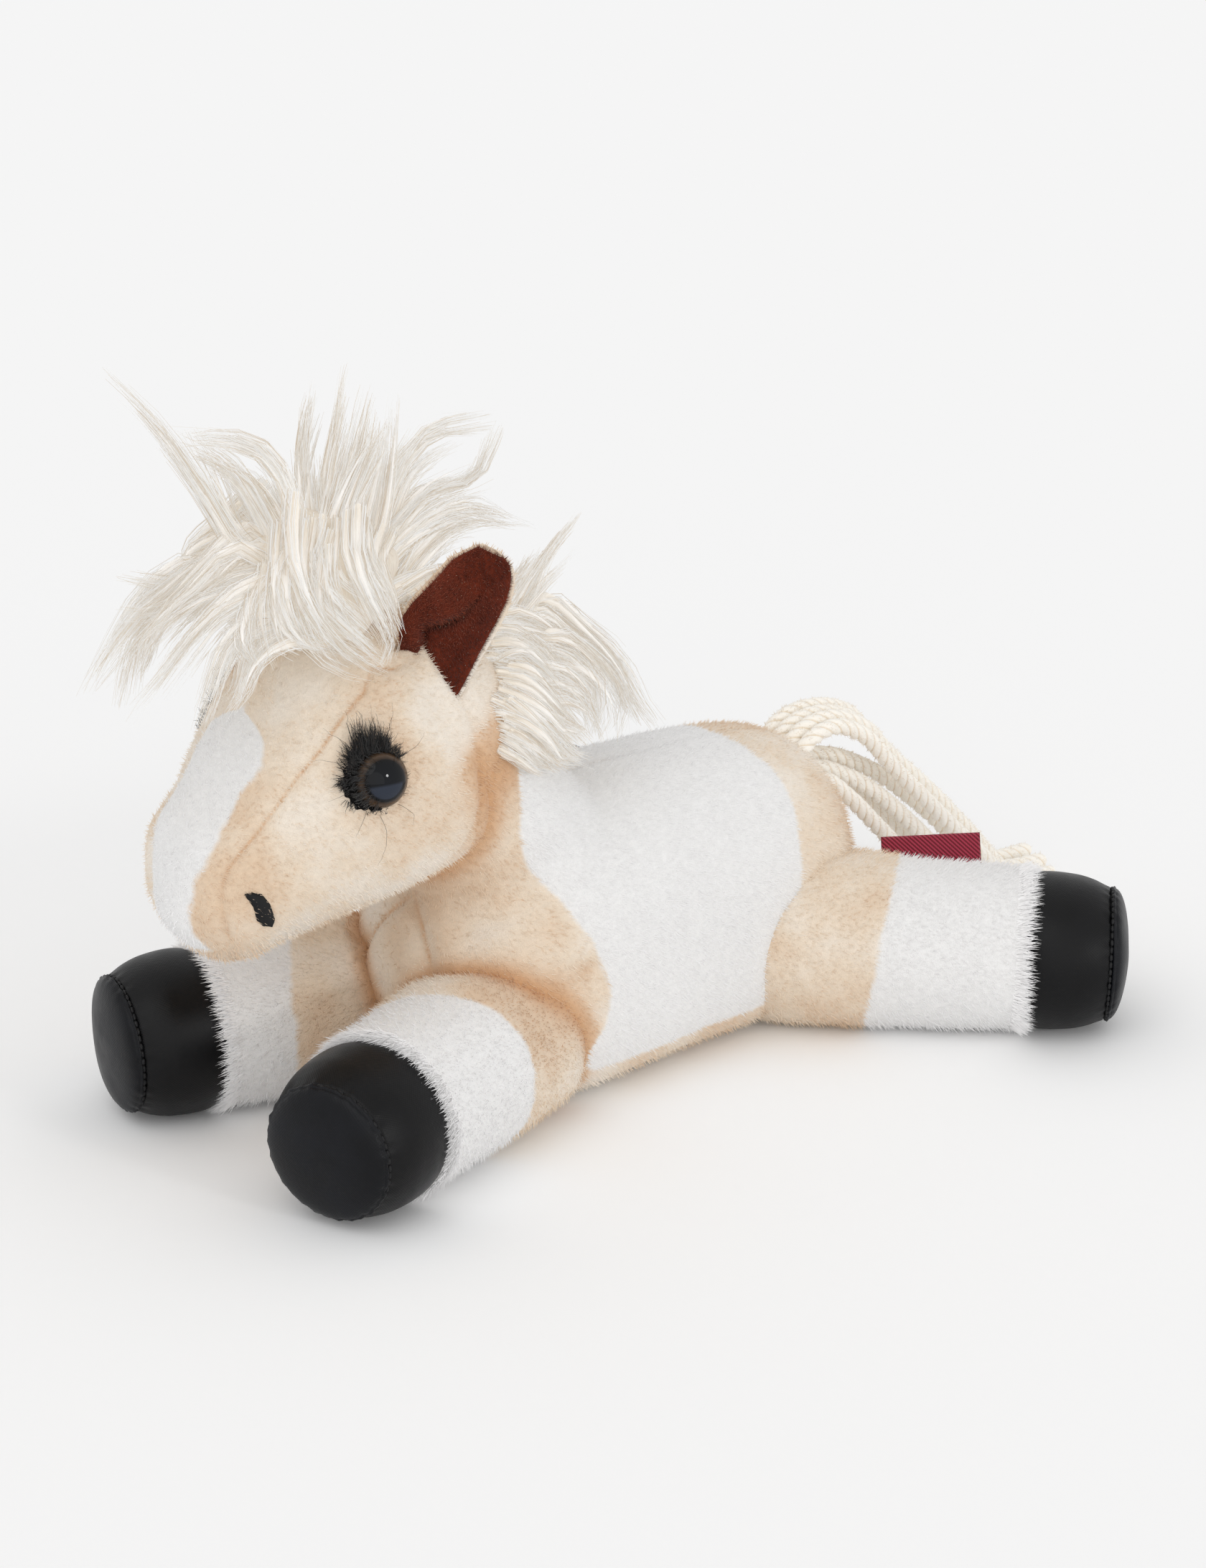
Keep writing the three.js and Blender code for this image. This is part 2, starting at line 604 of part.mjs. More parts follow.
// The hoof's wall is a barrel of leather cloth, and its sole a bulged disc with a raised seam round it
const hoofRadius = (t, grow) => shareAt(hoofShares, t)[0] * hoof.radius + grow;
function hoofWall() {
  const stations = 3;
  const outside = [];
  const inside = [];
  for (let i = 0; i <= stations; i++) {
    const t = i / stations;
    outside.push(new THREE.Vector2(hoofRadius(t, 0), t * hoof.length));
    inside.unshift(new THREE.Vector2(hoofRadius(t, -hoof.wall), t * hoof.length));
  }
  return lathe([...outside, ...inside, outside[0]], 16);
}
function hoofSole() {
  const stations = 4;
  const outside = [];
  const inside = [];
  for (let i = 0; i <= stations; i++) {
    const angle = (Math.PI * i) / (2 * stations);
    const flare = Math.sin(angle);
    const rim = hoofRadius(1, i === stations ? hoof.seamRidge : 0);
    const height = hoof.wall + hoof.soleBulge * Math.cos(angle);
    outside.push(new THREE.Vector2(rim * flare, height));
    inside.unshift(new THREE.Vector2((rim - hoof.wall) * flare, height - hoof.wall));
  }
  return lathe([...outside, ...inside], 16);
}
function legFilling(length) {
  const sleeve = leg.radius - coverWall - fillGap;
  const inHoof = hoofRadius(1, -hoof.wall - fillGap);
  const centres = [0, length, length + hoof.length];
  const sizes = [sleeve, inHoof, inHoof];
  return loft(centres.map((x, i) => circle(vec(x, 0, 0), axisY, axisZ, sizes[i], 14)));
}
const legPlaces = {};
legs.forEach((l, i) => {
  const pivot = legPivots[i];
  const legBody = body(`leg_${l.name}`, pivot, torsoBody);
  // the leg droops a little, so that its hoof lies on the floor as well
  const droop = Math.atan2(leg.radius - hoof.radius, l.sleeve + hoof.length / 2);
  const tilt = new THREE.Matrix4().makeRotationY(droop);
  const place = new THREE.Matrix4().makeRotationZ(l.headingAngle).multiply(tilt).setPosition(pivot);
  legPlaces[l.name] = { place, sleeve: l.sleeve, body: legBody };
  const alongAt = (distance) => vec(distance, 0, 0).applyMatrix4(place);
  // seen from the leg, the torso turns the other way
  const outwardSign = l.side * Math.sign(Math.cos(l.headingAngle));
  const limits = [-l.outAngle - sweepPastAngle, l.inwardAngle + sweepPastAngle];
  const range = limits.map((angle) => outwardSign * angle);
  const shoulderCutter = ball(pivot, shoulderRadius + seatGap);
  const cutters = [shoulderCutter, ...sweep(torsoCutter, pivot, axisZ, ...range, 2), floorSlab];
  const shoulderFillCutter = ball(pivot, shoulderRadius + fillGap, 12);
  const fillCutters = [shoulderFillCutter, ...sweep(torsoFillCutter, pivot, axisZ, ...range, 1)];
  const sleeve = cut(sleeveForm(l.sleeve, 0, 4, 20), sleeveForm(l.sleeve + overrun, -coverWall, 2, 16));
  piece(`leg_${l.name}_cover`, cut(moved(sleeve, place), ...cutters), materials.plush, legBody);
  const filling = cut(moved(legFilling(l.sleeve), place), ...fillCutters);
  piece(`leg_${l.name}_filling`, filling, materials.filling, legBody);
  const along = axisX.clone().transformDirection(place);
  const rimAt = frameOn(alongAt(l.sleeve + seamGap), along, axisZ);
  const seamAt = frameOn(alongAt(l.sleeve + hoof.length + 2 * seamGap), along, axisZ);
  piece(`hoof_${l.name}_wall`, cut(moved(hoofWall(), rimAt), floorSlab), materials.leather, legBody);
  piece(`hoof_${l.name}_sole`, cut(moved(hoofSole(), seamAt), floorSlab), materials.leather, legBody);
});

// Head
const headBody = body("head", neckTop, neckBody);
const eyeProfile = () => {
  const profile = [new THREE.Vector2(0, -eye.shankLength)];
  const ridgeStep = eye.shankLength / (2 * eye.ridgeCount);
  for (let i = 0; i < 2 * eye.ridgeCount; i++) {
    const radius = i % 2 ? eye.shank - eye.ridge : eye.shank;
    profile.push(new THREE.Vector2(radius, -eye.shankLength + i * ridgeStep));
  }
  profile.push(new THREE.Vector2(eye.shank, 0), new THREE.Vector2(eye.shank, eye.height / 2));
  profile.push(new THREE.Vector2(0, eye.height / 2));
  return profile;
};
const domeProfile = () => {
  const stations = 5;
  const profile = [new THREE.Vector2(0, 0)];
  for (let i = 0; i <= stations; i++) {
    const angle = (Math.PI * i) / (2 * stations);
    profile.push(new THREE.Vector2(eye.radius * Math.cos(angle), eye.height * Math.sin(angle)));
  }
  return profile;
};
function washerSolid() {
  const outline = new THREE.Shape().absarc(0, 0, washer.radius, 0, 2 * Math.PI);
  const bite = [];
  for (let i = 0; i < 2 * washer.toothCount; i++) {
    const angle = (Math.PI * i) / washer.toothCount;
    const radius = eye.shank + (i % 2 ? washer.bite : washer.bite + eye.ridge);
    bite.push(new THREE.Vector2(radius * Math.cos(angle), radius * Math.sin(angle)));
  }
  outline.holes.push(new THREE.Path(bite));
  const settings = { depth: washer.thickness, bevelEnabled: false, curveSegments: 10 };
  return solidFrom(new THREE.ExtrudeGeometry(outline, settings));
}
const patchTop = seamGap + lashPatch.height;
const patchBand = cut(headForm(patchTop, 15, 22), headForm(seamGap, 15, 22));
const overPatch = headForm(patchTop + seamGap, 15, 22);
const overSkin = headForm(seamGap, 15, 22);
const headHollow = join([headForm(-coverWall, 10, 16), ball(neckTop, head.backRadius - coverWall, 16)]);
const headMouth = bar(neckTop, neckTop.clone().sub(mouthReach), neck.mouthRadius);
let headCover = cut(join([headFront, headBack]), headHollow, headMouth);
let headFill = join([
  headForm(-coverWall - 2 * seamGap, 10, 16),
  ball(neckTop, head.backRadius - coverWall - 2 * seamGap, 16),
]);

for (const [side, sign] of Object.entries(sidePair)) {
  const seat = seatOnHead(eyePlaceShares, vec(0, sign, 0), eye.radius);
  const place = frameOn(seat.at, seat.normal, headDirection);
  const inwardPoint = (depth) => seat.at.clone().addScaledVector(seat.normal, -depth);
  const outer = inwardPoint(-eye.height);
  const shankBore = bar(outer, inwardPoint(eye.shankLength + seamGap), eye.shank + seamGap);
  headCover = cut(headCover, shankBore);

  const dome = cut(moved(lathe(domeProfile(), 18), place), overPatch);
  const shank = moved(lathe(eyeProfile(), 10), place);
  piece(`eye_${side}`, join([dome, shank]), materials.eye, headBody);

  const patchRadius = lashPatch.radius;
  const disc = new THREE.CylinderGeometry(patchRadius, patchRadius, 4 * patchTop, 16);
  disc.rotateX(Math.PI / 2).scale(lashPatch.stretchShare, 1, 1);
  const patch = cut(moved(solidFrom(disc), place).intersect(patchBand), shankBore);
  piece(`lash_patch_${side}`, patch, materials.lash, headBody);

  // the washer's flat disc meets the curved inside of the cover at its rim
  const sag = washer.radius ** 2 / head.width;
  const washerDepth = coverWall + sag + washer.thickness + fillGap;
  const washerPlace = frameOn(inwardPoint(washerDepth), seat.normal, headDirection);
  piece(`eye_washer_${side}`, moved(washerSolid(), washerPlace), materials.washer, headBody);
  const pocket = bar(seat.at, inwardPoint(washerDepth + seamGap), washer.radius + seamGap);
  headFill = cut(headFill, pocket, shankBore);

  const nose = seatOnHead(nostrilPlaceShares, vec(0, sign, 0), nostril.width / 2);
  const beadHalf = nostril.length / 2;
  const bead = new THREE.SphereGeometry(beadHalf, 14, 8);
  bead.scale(1, nostril.width / nostril.length, (nostril.height + seamGap) / beadHalf);
  const beadPlace = frameOn(nose.at, nose.normal, headUpward);
  piece(`nostril_${side}`, cut(moved(solidFrom(bead), beadPlace), overSkin), materials.thread, headBody);
}
const headBodyCutter = join([headFrontCutter, headBackCutter]);
piece("head_cover", headCover, materials.plush, headBody);
piece("head_filling", headFill, materials.filling, headBody);

// Ears. Each is a cupped leaf: a section like a shallow bowl, swept from its root to its tip.
const earCones = [];
for (const [side, sign] of Object.entries(sidePair)) {
  const { along, lift, across } = earPlaceShares;
  const seat = seatOnHead({ along, lift: 0 }, vec(0, sign * across, lift).normalize(), ear.halfWidth / 2);
  const lean = vec(earLeanShares.back, sign * earLeanShares.out, 1).normalize();
  const facing = vec(-1, sign * earFacingShares.out, earFacingShares.up);
  const across3 = vec(0, 0, 0).crossVectors(lean, facing).normalize();
  const open = vec(0, 0, 0).crossVectors(across3, lean);
  const earBody = body(`ear_${side}`, seat.at, headBody);
  earBody.userData.axis = across3;
  const pointAt = (up, sideways, forward) =>
    seat.at
      .clone()
      .addScaledVector(lean, up)
      .addScaledVector(across3, sideways)
      .addScaledVector(open, forward);
  const layer = (offset, widthShare) => {
    const rows = [];
    const stations = 6;
    const columns = 6;
    for (let i = 0; i <= stations; i++) {
      const t = i / stations;
      const [halfShare, cupShare] = shareAt(earShares, t);
      const half = halfShare * ear.halfWidth * widthShare;
      const cup = cupShare * ear.cup * widthShare ** 2;
      const up = -ear.root + t * (ear.length + ear.root - offset * (widthShare < 1 ? 1 : 0));
      const row = [];
      for (let j = 0; j <= columns; j++) {
        const v = -1 + (2 * j) / columns;
        const steep = vec((-2 * cup * v) / half, 1, 0).normalize();
        const sideways = v * half + offset * steep.x;
        const forward = cup * (v * v - earSetShare) + offset * steep.y;
        row.push(pointAt(up, sideways, forward));
      }
      rows.push(row);
    }
    return rows;
  };
  const fold = ear.foldAngle + sweepPastAngle;
  const headPasses = sweep(headBodyCutter, seat.at, across3, -fold, fold, 2);
  const liningBack = layer(seamGap, earLiningShare);
  const liningFront = layer(seamGap + ear.lining, earLiningShare);
  const outer = cut(sheet(layer(0, 1), layer(-coverWall, 1)), ...headPasses);
  const lining = cut(sheet(liningFront, liningBack), ...headPasses);
  piece(`ear_${side}_outer`, outer, materials.plush, earBody);
  piece(`ear_${side}_lining`, lining, materials.felt, earBody);
  const coneRoot = seat.at.clone().addScaledVector(lean, -ear.root);
  const coneTop = seat.at.clone().addScaledVector(lean, ear.length + overrun);
  const coneReach = ear.length * Math.sin(fold) + ear.halfWidth;
  earCones.push(bar(coneRoot, coneTop, ear.halfWidth + fillGap, coneReach));
}

// Hair. A lock is a tapered tube that bends once.
const lockAt = (middle, reach) => ([radiusShare, ...pointShares]) => {
  const points = pointShares.map((share) => vec(...share).multiplyScalar(reach).add(middle));
  const spine = new THREE.QuadraticBezierCurve3(...points);
  const rings = [];
  const stations = 4;
  for (let i = 0; i <= stations; i++) {
    const t = i / stations;
    const along = spine.getTangent(t);
    const across = vec(0, 0, 0).crossVectors(along, axisY).normalize();
    const taper = 1 + lockSwellShare * Math.sin(Math.PI * t) + (lockTipShare - 1) * t ** 2;
    const size = radiusShare * reach * taper;
    rings.push(circle(spine.getPoint(t), axisY, across, size, 6));
  }
  return loft(rings);
};
// A cutter that takes all on one side of a plane through the nodding joint. The plane leans back.
function beyondParting(lean, direction) {
  const size = 4 * head.length;
  const block = new THREE.BoxGeometry(size, size, 2 * size).translate((direction * size) / 2, 0, 0);
  block.rotateY(lean).translate(neckTop.x, neckTop.y, neckTop.z);
  return solidFrom(block);
}
const forelockMiddle = onHeadAxis(forelockPlaceShares);
const core = new THREE.SphereGeometry(forelock.length / 2, 12, 8);
core.scale(1, forelock.width / forelock.length, forelock.height / forelock.length);
core.translate(...forelockMiddle.toArray());
const forelockLocks = forelockLockShares.map(lockAt(forelockMiddle, forelock.reach));
const forelockForm = join([solidFrom(core), ...forelockLocks]);
const forelockRoom = [headBodyCutter, ...earCones, beyondParting(forelock.partingLeanAngle, 1)];
piece("forelock", cut(forelockForm, ...forelockRoom), materials.hair, headBody);

const spinePoints = maneSpineShares.map((share) => vec(...share).multiplyScalar(mane.reach).add(neckTop));
const spineCurve = new THREE.CatmullRomCurve3(spinePoints);
const maneRings = [];
const maneStations = 6;
for (let i = 0; i <= maneStations; i++) {
  const t = i / maneStations;
  const across = vec(0, 0, 0).crossVectors(spineCurve.getTangent(t), axisY).normalize();
  const size = mane.radius * Math.sqrt(1 - maneThinningShare * (2 * t - 1) ** 2);
  maneRings.push(circle(spineCurve.getPoint(t), axisY, across, size, 10));
}
const maneForm = join([loft(maneRings), ...maneLockShares.map(lockAt(neckTop, mane.reach))]);
const maneLean = forelock.partingLeanAngle + head.nodUpAngle + mane.partingGapAngle;
const earPasses = earCones.flatMap((cone) => sweep(cone, neckTop, axisY, ...nod, 2));
const maneRoom = [neckForm(seamGap, 24), ...neckCutters, ...earPasses, beyondParting(maneLean, -1)];
piece("neck_mane", cut(maneForm, ...maneRoom), materials.hair, neckBody);

// Tail
const plugShell = cut(torsoForm(tailProud, 16, 24), torsoHollow);
for (const [name, row] of Object.entries(tailRows)) {
  piece(`tail_root_${name}`, tailPlug(row, 0).intersect(plugShell), materials.cord, torsoBody);
}
const cordRoom = torsoForm(tailProud + seamGap, 16, 24);
cordRoutes.forEach((route, i) => {
  const path = new THREE.CatmullRomCurve3(route);
  const section = new THREE.Shape().absarc(0, 0, cordRadius, 0, 2 * Math.PI);
  const settings = { extrudePath: path, steps: cordStepCount, curveSegments: 4, bevelEnabled: false };
  const cord = solidFrom(new THREE.ExtrudeGeometry(section, settings));
  piece(`tail_cord_${i + 1}`, cut(cord, cordRoom), materials.cord, torsoBody);
});

// Label, with its place worked out in the leg's own frame
const labelled = legPlaces[label.leg];
const seamAngle = (labelPlaceShares.round * Math.PI) / 2;
const leanAngle = (labelPlaceShares.lean * Math.PI) / 2;
const labelStart = labelPlaceShares.along * labelled.sleeve;
const seamRadius = sleeveRadius(labelPlaceShares.along, 0);
const labelFoot = vec(labelStart, seamRadius * Math.sin(seamAngle), seamRadius * Math.cos(seamAngle));
const labelHalf = vec(label.length / 2, 0, 0);
const labelBend = label.foldWidth / 2;
const ribbonPath = [[-labelBend, -label.tuck]];
const bendStations = 4;
for (let i = 0; i <= bendStations; i++) {
  const angle = (Math.PI * i) / bendStations;
  ribbonPath.push([-labelBend * Math.cos(angle), label.height - labelBend + labelBend * Math.sin(angle)]);
}
ribbonPath.push([labelBend, -label.tuck]);
const ribbonRows = (offset) =>
  [0, label.length].map((along) =>
    ribbonPath.map(([across, rise], k) => {
      const before = ribbonPath[Math.max(k - 1, 0)];
      const after = ribbonPath[Math.min(k + 1, ribbonPath.length - 1)];
      const normal = new THREE.Vector2(after[1] - before[1], before[0] - after[0]).normalize();
      const point = vec(along, across + offset * normal.x, rise + offset * normal.y).sub(labelHalf);
      const tilted = point.applyAxisAngle(axisY, -labelTiltAngle).add(labelHalf);
      return tilted.applyAxisAngle(axisX, -leanAngle).add(labelFoot);
    }),
  );
const ribbon = moved(sheet(ribbonRows(0), ribbonRows(label.thickness)), labelled.place);
const sleeveRoom = moved(sleeveForm(labelled.sleeve, seamGap, 4, 20), labelled.place);
piece("side_label", cut(ribbon, sleeveRoom), materials.ribbon, labelled.body);

// The origin goes under the middle of the toy, its cords left out
const extent = new THREE.Box3();
toy.updateWorldMatrix(true, true);
toy.traverse((node) => {
  if (node.isMesh && !node.name.startsWith("tail_cord")) extent.expandByObject(node, true);
});
const centre = extent.getCenter(vec(0, 0, 0));
toy.position.set(-centre.x, -centre.y, -extent.min.z);

export default horse;
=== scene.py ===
# %% [markdown]
# # A lying plush horse
# A soft toy is a few sewn skins stuffed with fibre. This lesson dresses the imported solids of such
# a toy: skins of short plush, leather-look hooves, long hair, felt ears, domed eyes and a tail
# of cotton cords. All sizes are in millimetres of the toy, and `place` turns them into metres.

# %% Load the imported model
import json
import math

import bmesh
import bpy
import numpy as np
from mathutils import Matrix, Vector
from mathutils.bvhtree import BVHTree


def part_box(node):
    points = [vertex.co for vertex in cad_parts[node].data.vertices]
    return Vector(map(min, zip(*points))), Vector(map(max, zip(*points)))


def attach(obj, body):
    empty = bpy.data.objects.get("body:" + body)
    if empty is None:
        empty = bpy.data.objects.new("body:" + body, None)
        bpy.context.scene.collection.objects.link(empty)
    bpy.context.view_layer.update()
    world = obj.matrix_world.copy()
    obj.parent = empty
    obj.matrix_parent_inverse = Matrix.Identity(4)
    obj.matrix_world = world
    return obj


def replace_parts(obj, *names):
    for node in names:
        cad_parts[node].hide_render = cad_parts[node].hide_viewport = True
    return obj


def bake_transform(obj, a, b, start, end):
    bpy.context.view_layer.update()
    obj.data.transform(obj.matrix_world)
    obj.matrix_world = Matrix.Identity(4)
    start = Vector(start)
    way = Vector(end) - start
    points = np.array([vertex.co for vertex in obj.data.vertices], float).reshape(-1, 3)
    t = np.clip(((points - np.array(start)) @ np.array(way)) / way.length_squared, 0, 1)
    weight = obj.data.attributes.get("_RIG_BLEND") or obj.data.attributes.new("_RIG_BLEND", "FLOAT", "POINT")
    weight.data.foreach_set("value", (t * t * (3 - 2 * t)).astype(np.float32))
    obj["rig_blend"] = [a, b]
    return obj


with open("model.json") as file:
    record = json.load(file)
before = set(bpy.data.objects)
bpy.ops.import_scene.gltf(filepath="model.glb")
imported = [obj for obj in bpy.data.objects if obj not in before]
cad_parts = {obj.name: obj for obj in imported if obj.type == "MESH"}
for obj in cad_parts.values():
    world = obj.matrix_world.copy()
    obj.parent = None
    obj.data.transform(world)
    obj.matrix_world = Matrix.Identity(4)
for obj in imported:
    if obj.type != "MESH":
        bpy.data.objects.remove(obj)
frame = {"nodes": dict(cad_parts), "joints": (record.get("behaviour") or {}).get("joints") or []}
scene = bpy.context.scene
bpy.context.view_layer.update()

# %% The toy's own origin
# It is on the floor, in the middle of the toy's width, 102 mm ahead of the end of the rump.
torso_low, torso_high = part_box("torso_cover")
toy_origin = np.array([torso_high.x - 0.102, (torso_low.y + torso_high.y) / 2, 0.0])


def place(points):
    return np.asarray(points, float) / 1000 + toy_origin


def unplace(points):
    return (np.asarray(points, float) - toy_origin) * 1000


print("toy origin:", np.round(toy_origin, 5).tolist())

# %% [markdown]
# ## The camera
# A long lens, far away, looks a little down on the toy's left front. Its numbers come from fitting
# a pinhole camera to the outline of the toy, so the picture and the solids share one frame.

# %% Camera
azimuth, elevation, distance = math.radians(-41.24), math.radians(21), 1.5
towards_camera = Vector((
    math.sin(azimuth) * math.cos(elevation),
    -math.cos(azimuth) * math.cos(elevation),
    math.sin(elevation),
))
camera_data = bpy.data.cameras.new("camera")
camera_data.lens = 6573 / 2184 * camera_data.sensor_width
camera_data.clip_start, camera_data.clip_end = 0.05, 60
camera = bpy.data.objects.new("camera", camera_data)
scene.collection.objects.link(camera)
camera.location = Vector(place((50.5, 45.9, 60))) + towards_camera * distance
camera.rotation_euler = (-towards_camera).to_track_quat("-Z", "Y").to_euler()
scene.camera = camera
print("lens", round(camera_data.lens, 1), "mm, camera at", np.round(camera.location, 3).tolist())

# %% [markdown]
# ## Small helpers
# Short helpers keep the later cells readable. Some make and read meshes, some add a node or a few
# to a tree with their links, and `grow` makes a plain mesh from a piece with a Geometry Nodes tree.

# %% Helpers
def mesh_piece(name, points, faces, edges=()):
    mesh = bpy.data.meshes.new(name)
    mesh.from_pydata([tuple(p) for p in points], list(edges), [tuple(f) for f in faces])
    mesh.update()
    piece = bpy.data.objects.new(name, mesh)
    scene.collection.objects.link(piece)
    return piece


def tidy_mesh(piece, smooth=True):
    """Merges doubles and turns all faces outwards."""
    work = bmesh.new()
    work.from_mesh(piece.data)
    bmesh.ops.remove_doubles(work, verts=work.verts, dist=1e-6)
    bmesh.ops.recalc_face_normals(work, faces=work.faces)
    for face in work.faces:
        face.smooth = smooth
    work.to_mesh(piece.data)
    work.free()
    return piece


def points_of(piece, field="co"):
    values = np.empty(len(piece.data.vertices) * 3)
    piece.data.vertices.foreach_get(field, values)
    return values.reshape(-1, 3)


def mm_of(piece):
    """The points of a mesh in millimetres of the toy."""
    return unplace(points_of(piece))


def move_points(piece, points):
    piece.data.vertices.foreach_set("co", np.asarray(points, float).ravel())
    piece.data.update()


def store(piece, name, values):
    """Keeps one number or one vector at each point of a mesh."""
    values = np.asarray(values, np.float32)
    kind, field = ("FLOAT_VECTOR", "vector") if values.ndim == 2 else ("FLOAT", "value")
    layer = piece.data.attributes.get(name) or piece.data.attributes.new(name, kind, "POINT")
    layer.data.foreach_set(field, values.ravel())


def stored(piece, name):
    values = np.empty(len(piece.data.vertices))
    piece.data.attributes[name].data.foreach_get("value", values)
    return values


def drop_layers(piece, *names):
    for name in [a.name for a in piece.data.attributes if a.name in names]:
        piece.data.attributes.remove(piece.data.attributes[name])


def triangles(piece):
    return sum(len(face.vertices) - 2 for face in piece.data.polygons)


def surface_of(piece):
    return BVHTree.FromObject(piece, bpy.context.evaluated_depsgraph_get())


# %% Helpers for trees of nodes
def link(tree, inputs, links):
    """Fills inputs with plain values, sockets, or nodes, which stand for their first outputs."""
    for key, value in links.items():
        if isinstance(value, bpy.types.Node):
            value = value.outputs[0]
        if isinstance(value, bpy.types.NodeSocket):
            tree.links.new(value, inputs[key])
        else:
            inputs[key].default_value = value


def node(tree, kind, links=None, **settings):
    made = tree.nodes.new(kind)
    for key, value in settings.items():
        setattr(made, key, value)
    link(tree, made.inputs, links or {})
    return made


def calc(tree, how, *values):
    """One step of arithmetic on numbers."""
    return node(tree, "ShaderNodeMath", dict(enumerate(values)), operation=how)


def vector_calc(tree, how, *values):
    """One step of arithmetic on vectors. SCALE takes a vector and a number."""
    keys = (0, "Scale") if how == "SCALE" else (0, 1)
    return node(tree, "ShaderNodeVectorMath", dict(zip(keys, values)), operation=how)


def joined(tree, *values):
    """Three numbers as one vector."""
    return node(tree, "ShaderNodeCombineXYZ", dict(enumerate(values)))


def parts_of(tree, vector):
    """The x, y and z of a vector."""
    return node(tree, "ShaderNodeSeparateXYZ", {0: vector}).outputs


def noise(tree, vector, scale, detail=2.0, roughness=0.5):
    return node(tree, "ShaderNodeTexNoise", {"Vector": vector, "Scale": scale, "Detail": detail,
                                             "Roughness": roughness})


def span(tree, value, low, high, to_low=0.0, to_high=1.0, **settings):
    """Turns the numbers from low to high into those from to_low to to_high."""
    return node(tree, "ShaderNodeMapRange", {
        "Value": value, "From Min": low, "From Max": high, "To Min": to_low, "To Max": to_high,
    }, **settings)


def from_mesh(tree, name, output="Fac"):
    """What a mesh keeps at its points under this name."""
    return node(tree, "ShaderNodeAttribute", attribute_name=name).outputs[output]


def object_place(tree):
    return node(tree, "ShaderNodeTexCoord").outputs["Object"]


def mixed(tree, factor, first, second, how="MIX"):
    """One colour from two. A colour is a socket, a node or RRGGBB."""
    first, second = (linear(c) if isinstance(c, str) else c for c in (first, second))
    return node(tree, "ShaderNodeMix", {"Factor": factor, 6: first, 7: second}, data_type="RGBA",
                blend_type=how).outputs[2]


def ramp_of(tree, value, *stops):
    """A ramp of colours. Each stop is its place and its RRGGBB."""
    ramp = node(tree, "ShaderNodeValToRGB", {"Fac": value})
    for end, (at, code) in zip(ramp.color_ramp.elements, (stops[0], stops[-1])):
        end.position, end.color = at, linear(code)
    for at, code in stops[1:-1]:
        ramp.color_ramp.elements.new(at).color = linear(code)
    return ramp


def dress(tree, shader, colour, height=None, distance=0.0, strength=1.0, glow=False):
    """Links a colour to a shader, and to its glow if it has one, and a height by way of a bump."""
    links = {"Base Color": colour}
    if glow:
        links["Emission Color"] = colour
    if height is not None:
        links["Normal"] = node(tree, "ShaderNodeBump", {"Height": height, "Distance": distance,
                                                        "Strength": strength})
    link(tree, shader.inputs, links)


def shader_group(name, inputs, outputs):
    """A new group of shader nodes. Its sockets are given as label: kind."""
    tree = bpy.data.node_groups.new(name, "ShaderNodeTree")
    for way, sockets in (("INPUT", inputs), ("OUTPUT", outputs)):
        for label, kind in sockets.items():
            tree.interface.new_socket(label, in_out=way, socket_type=f"NodeSocket{kind}")
    return tree, node(tree, "NodeGroupInput").outputs, node(tree, "NodeGroupOutput").inputs


def curve_of(tree, mesh, measure, value):
    """A curve along the edges of a mesh, with a "Count" of points or a "Length" between them."""
    line = node(tree, "GeometryNodeMeshToCurve", {"Mesh": mesh})
    return node(tree, "GeometryNodeResampleCurve", {"Curve": line, measure: value},
                mode=measure.upper())


def keep(tree, geometry, name, value, kind="FLOAT", domain="POINT"):
    return node(tree, "GeometryNodeStoreNamedAttribute", {
        "Geometry": geometry, "Name": name, "Value": value}, data_type=kind, domain=domain)


def swept(tree, curve, section, **more):
    """A smooth tube with caps, as plain faces."""
    tube = node(tree, "GeometryNodeCurveToMesh", {"Curve": curve, "Profile Curve": section,
                                                  "Fill Caps": True, **more})
    tube = node(tree, "GeometryNodeSetShadeSmooth", {"Geometry": tube})
    return node(tree, "GeometryNodeRealizeInstances", {"Geometry": tube})


def painted(tree, geometry, material, value=None, above=0.0):
    """Sets a material everywhere, or only where the value is above a number."""
    paint = node(tree, "GeometryNodeSetMaterial", {"Geometry": geometry, "Material": material})
    if value is not None:
        chosen = node(tree, "FunctionNodeCompare", {0: value, 1: above}, operation="GREATER_THAN")
        link(tree, paint.inputs, {"Selection": chosen})
    return paint


# %% Helpers that grow meshes and lines
def geometry_tree(name, inputs):
    """A new tree with a geometry in and out, and named inputs: name -> (socket kind, value)."""
    tree = bpy.data.node_groups.new(name, "GeometryNodeTree")
    tree.interface.new_socket("Geometry", in_out="INPUT", socket_type="NodeSocketGeometry")
    for label, (kind, value) in inputs.items():
        socket = tree.interface.new_socket(label, in_out="INPUT", socket_type=f"NodeSocket{kind}")
        if value is not None:
            socket.default_value = value
    tree.interface.new_socket("Geometry", in_out="OUTPUT", socket_type="NodeSocketGeometry")
    return tree, node(tree, "NodeGroupInput").outputs, node(tree, "NodeGroupOutput").inputs


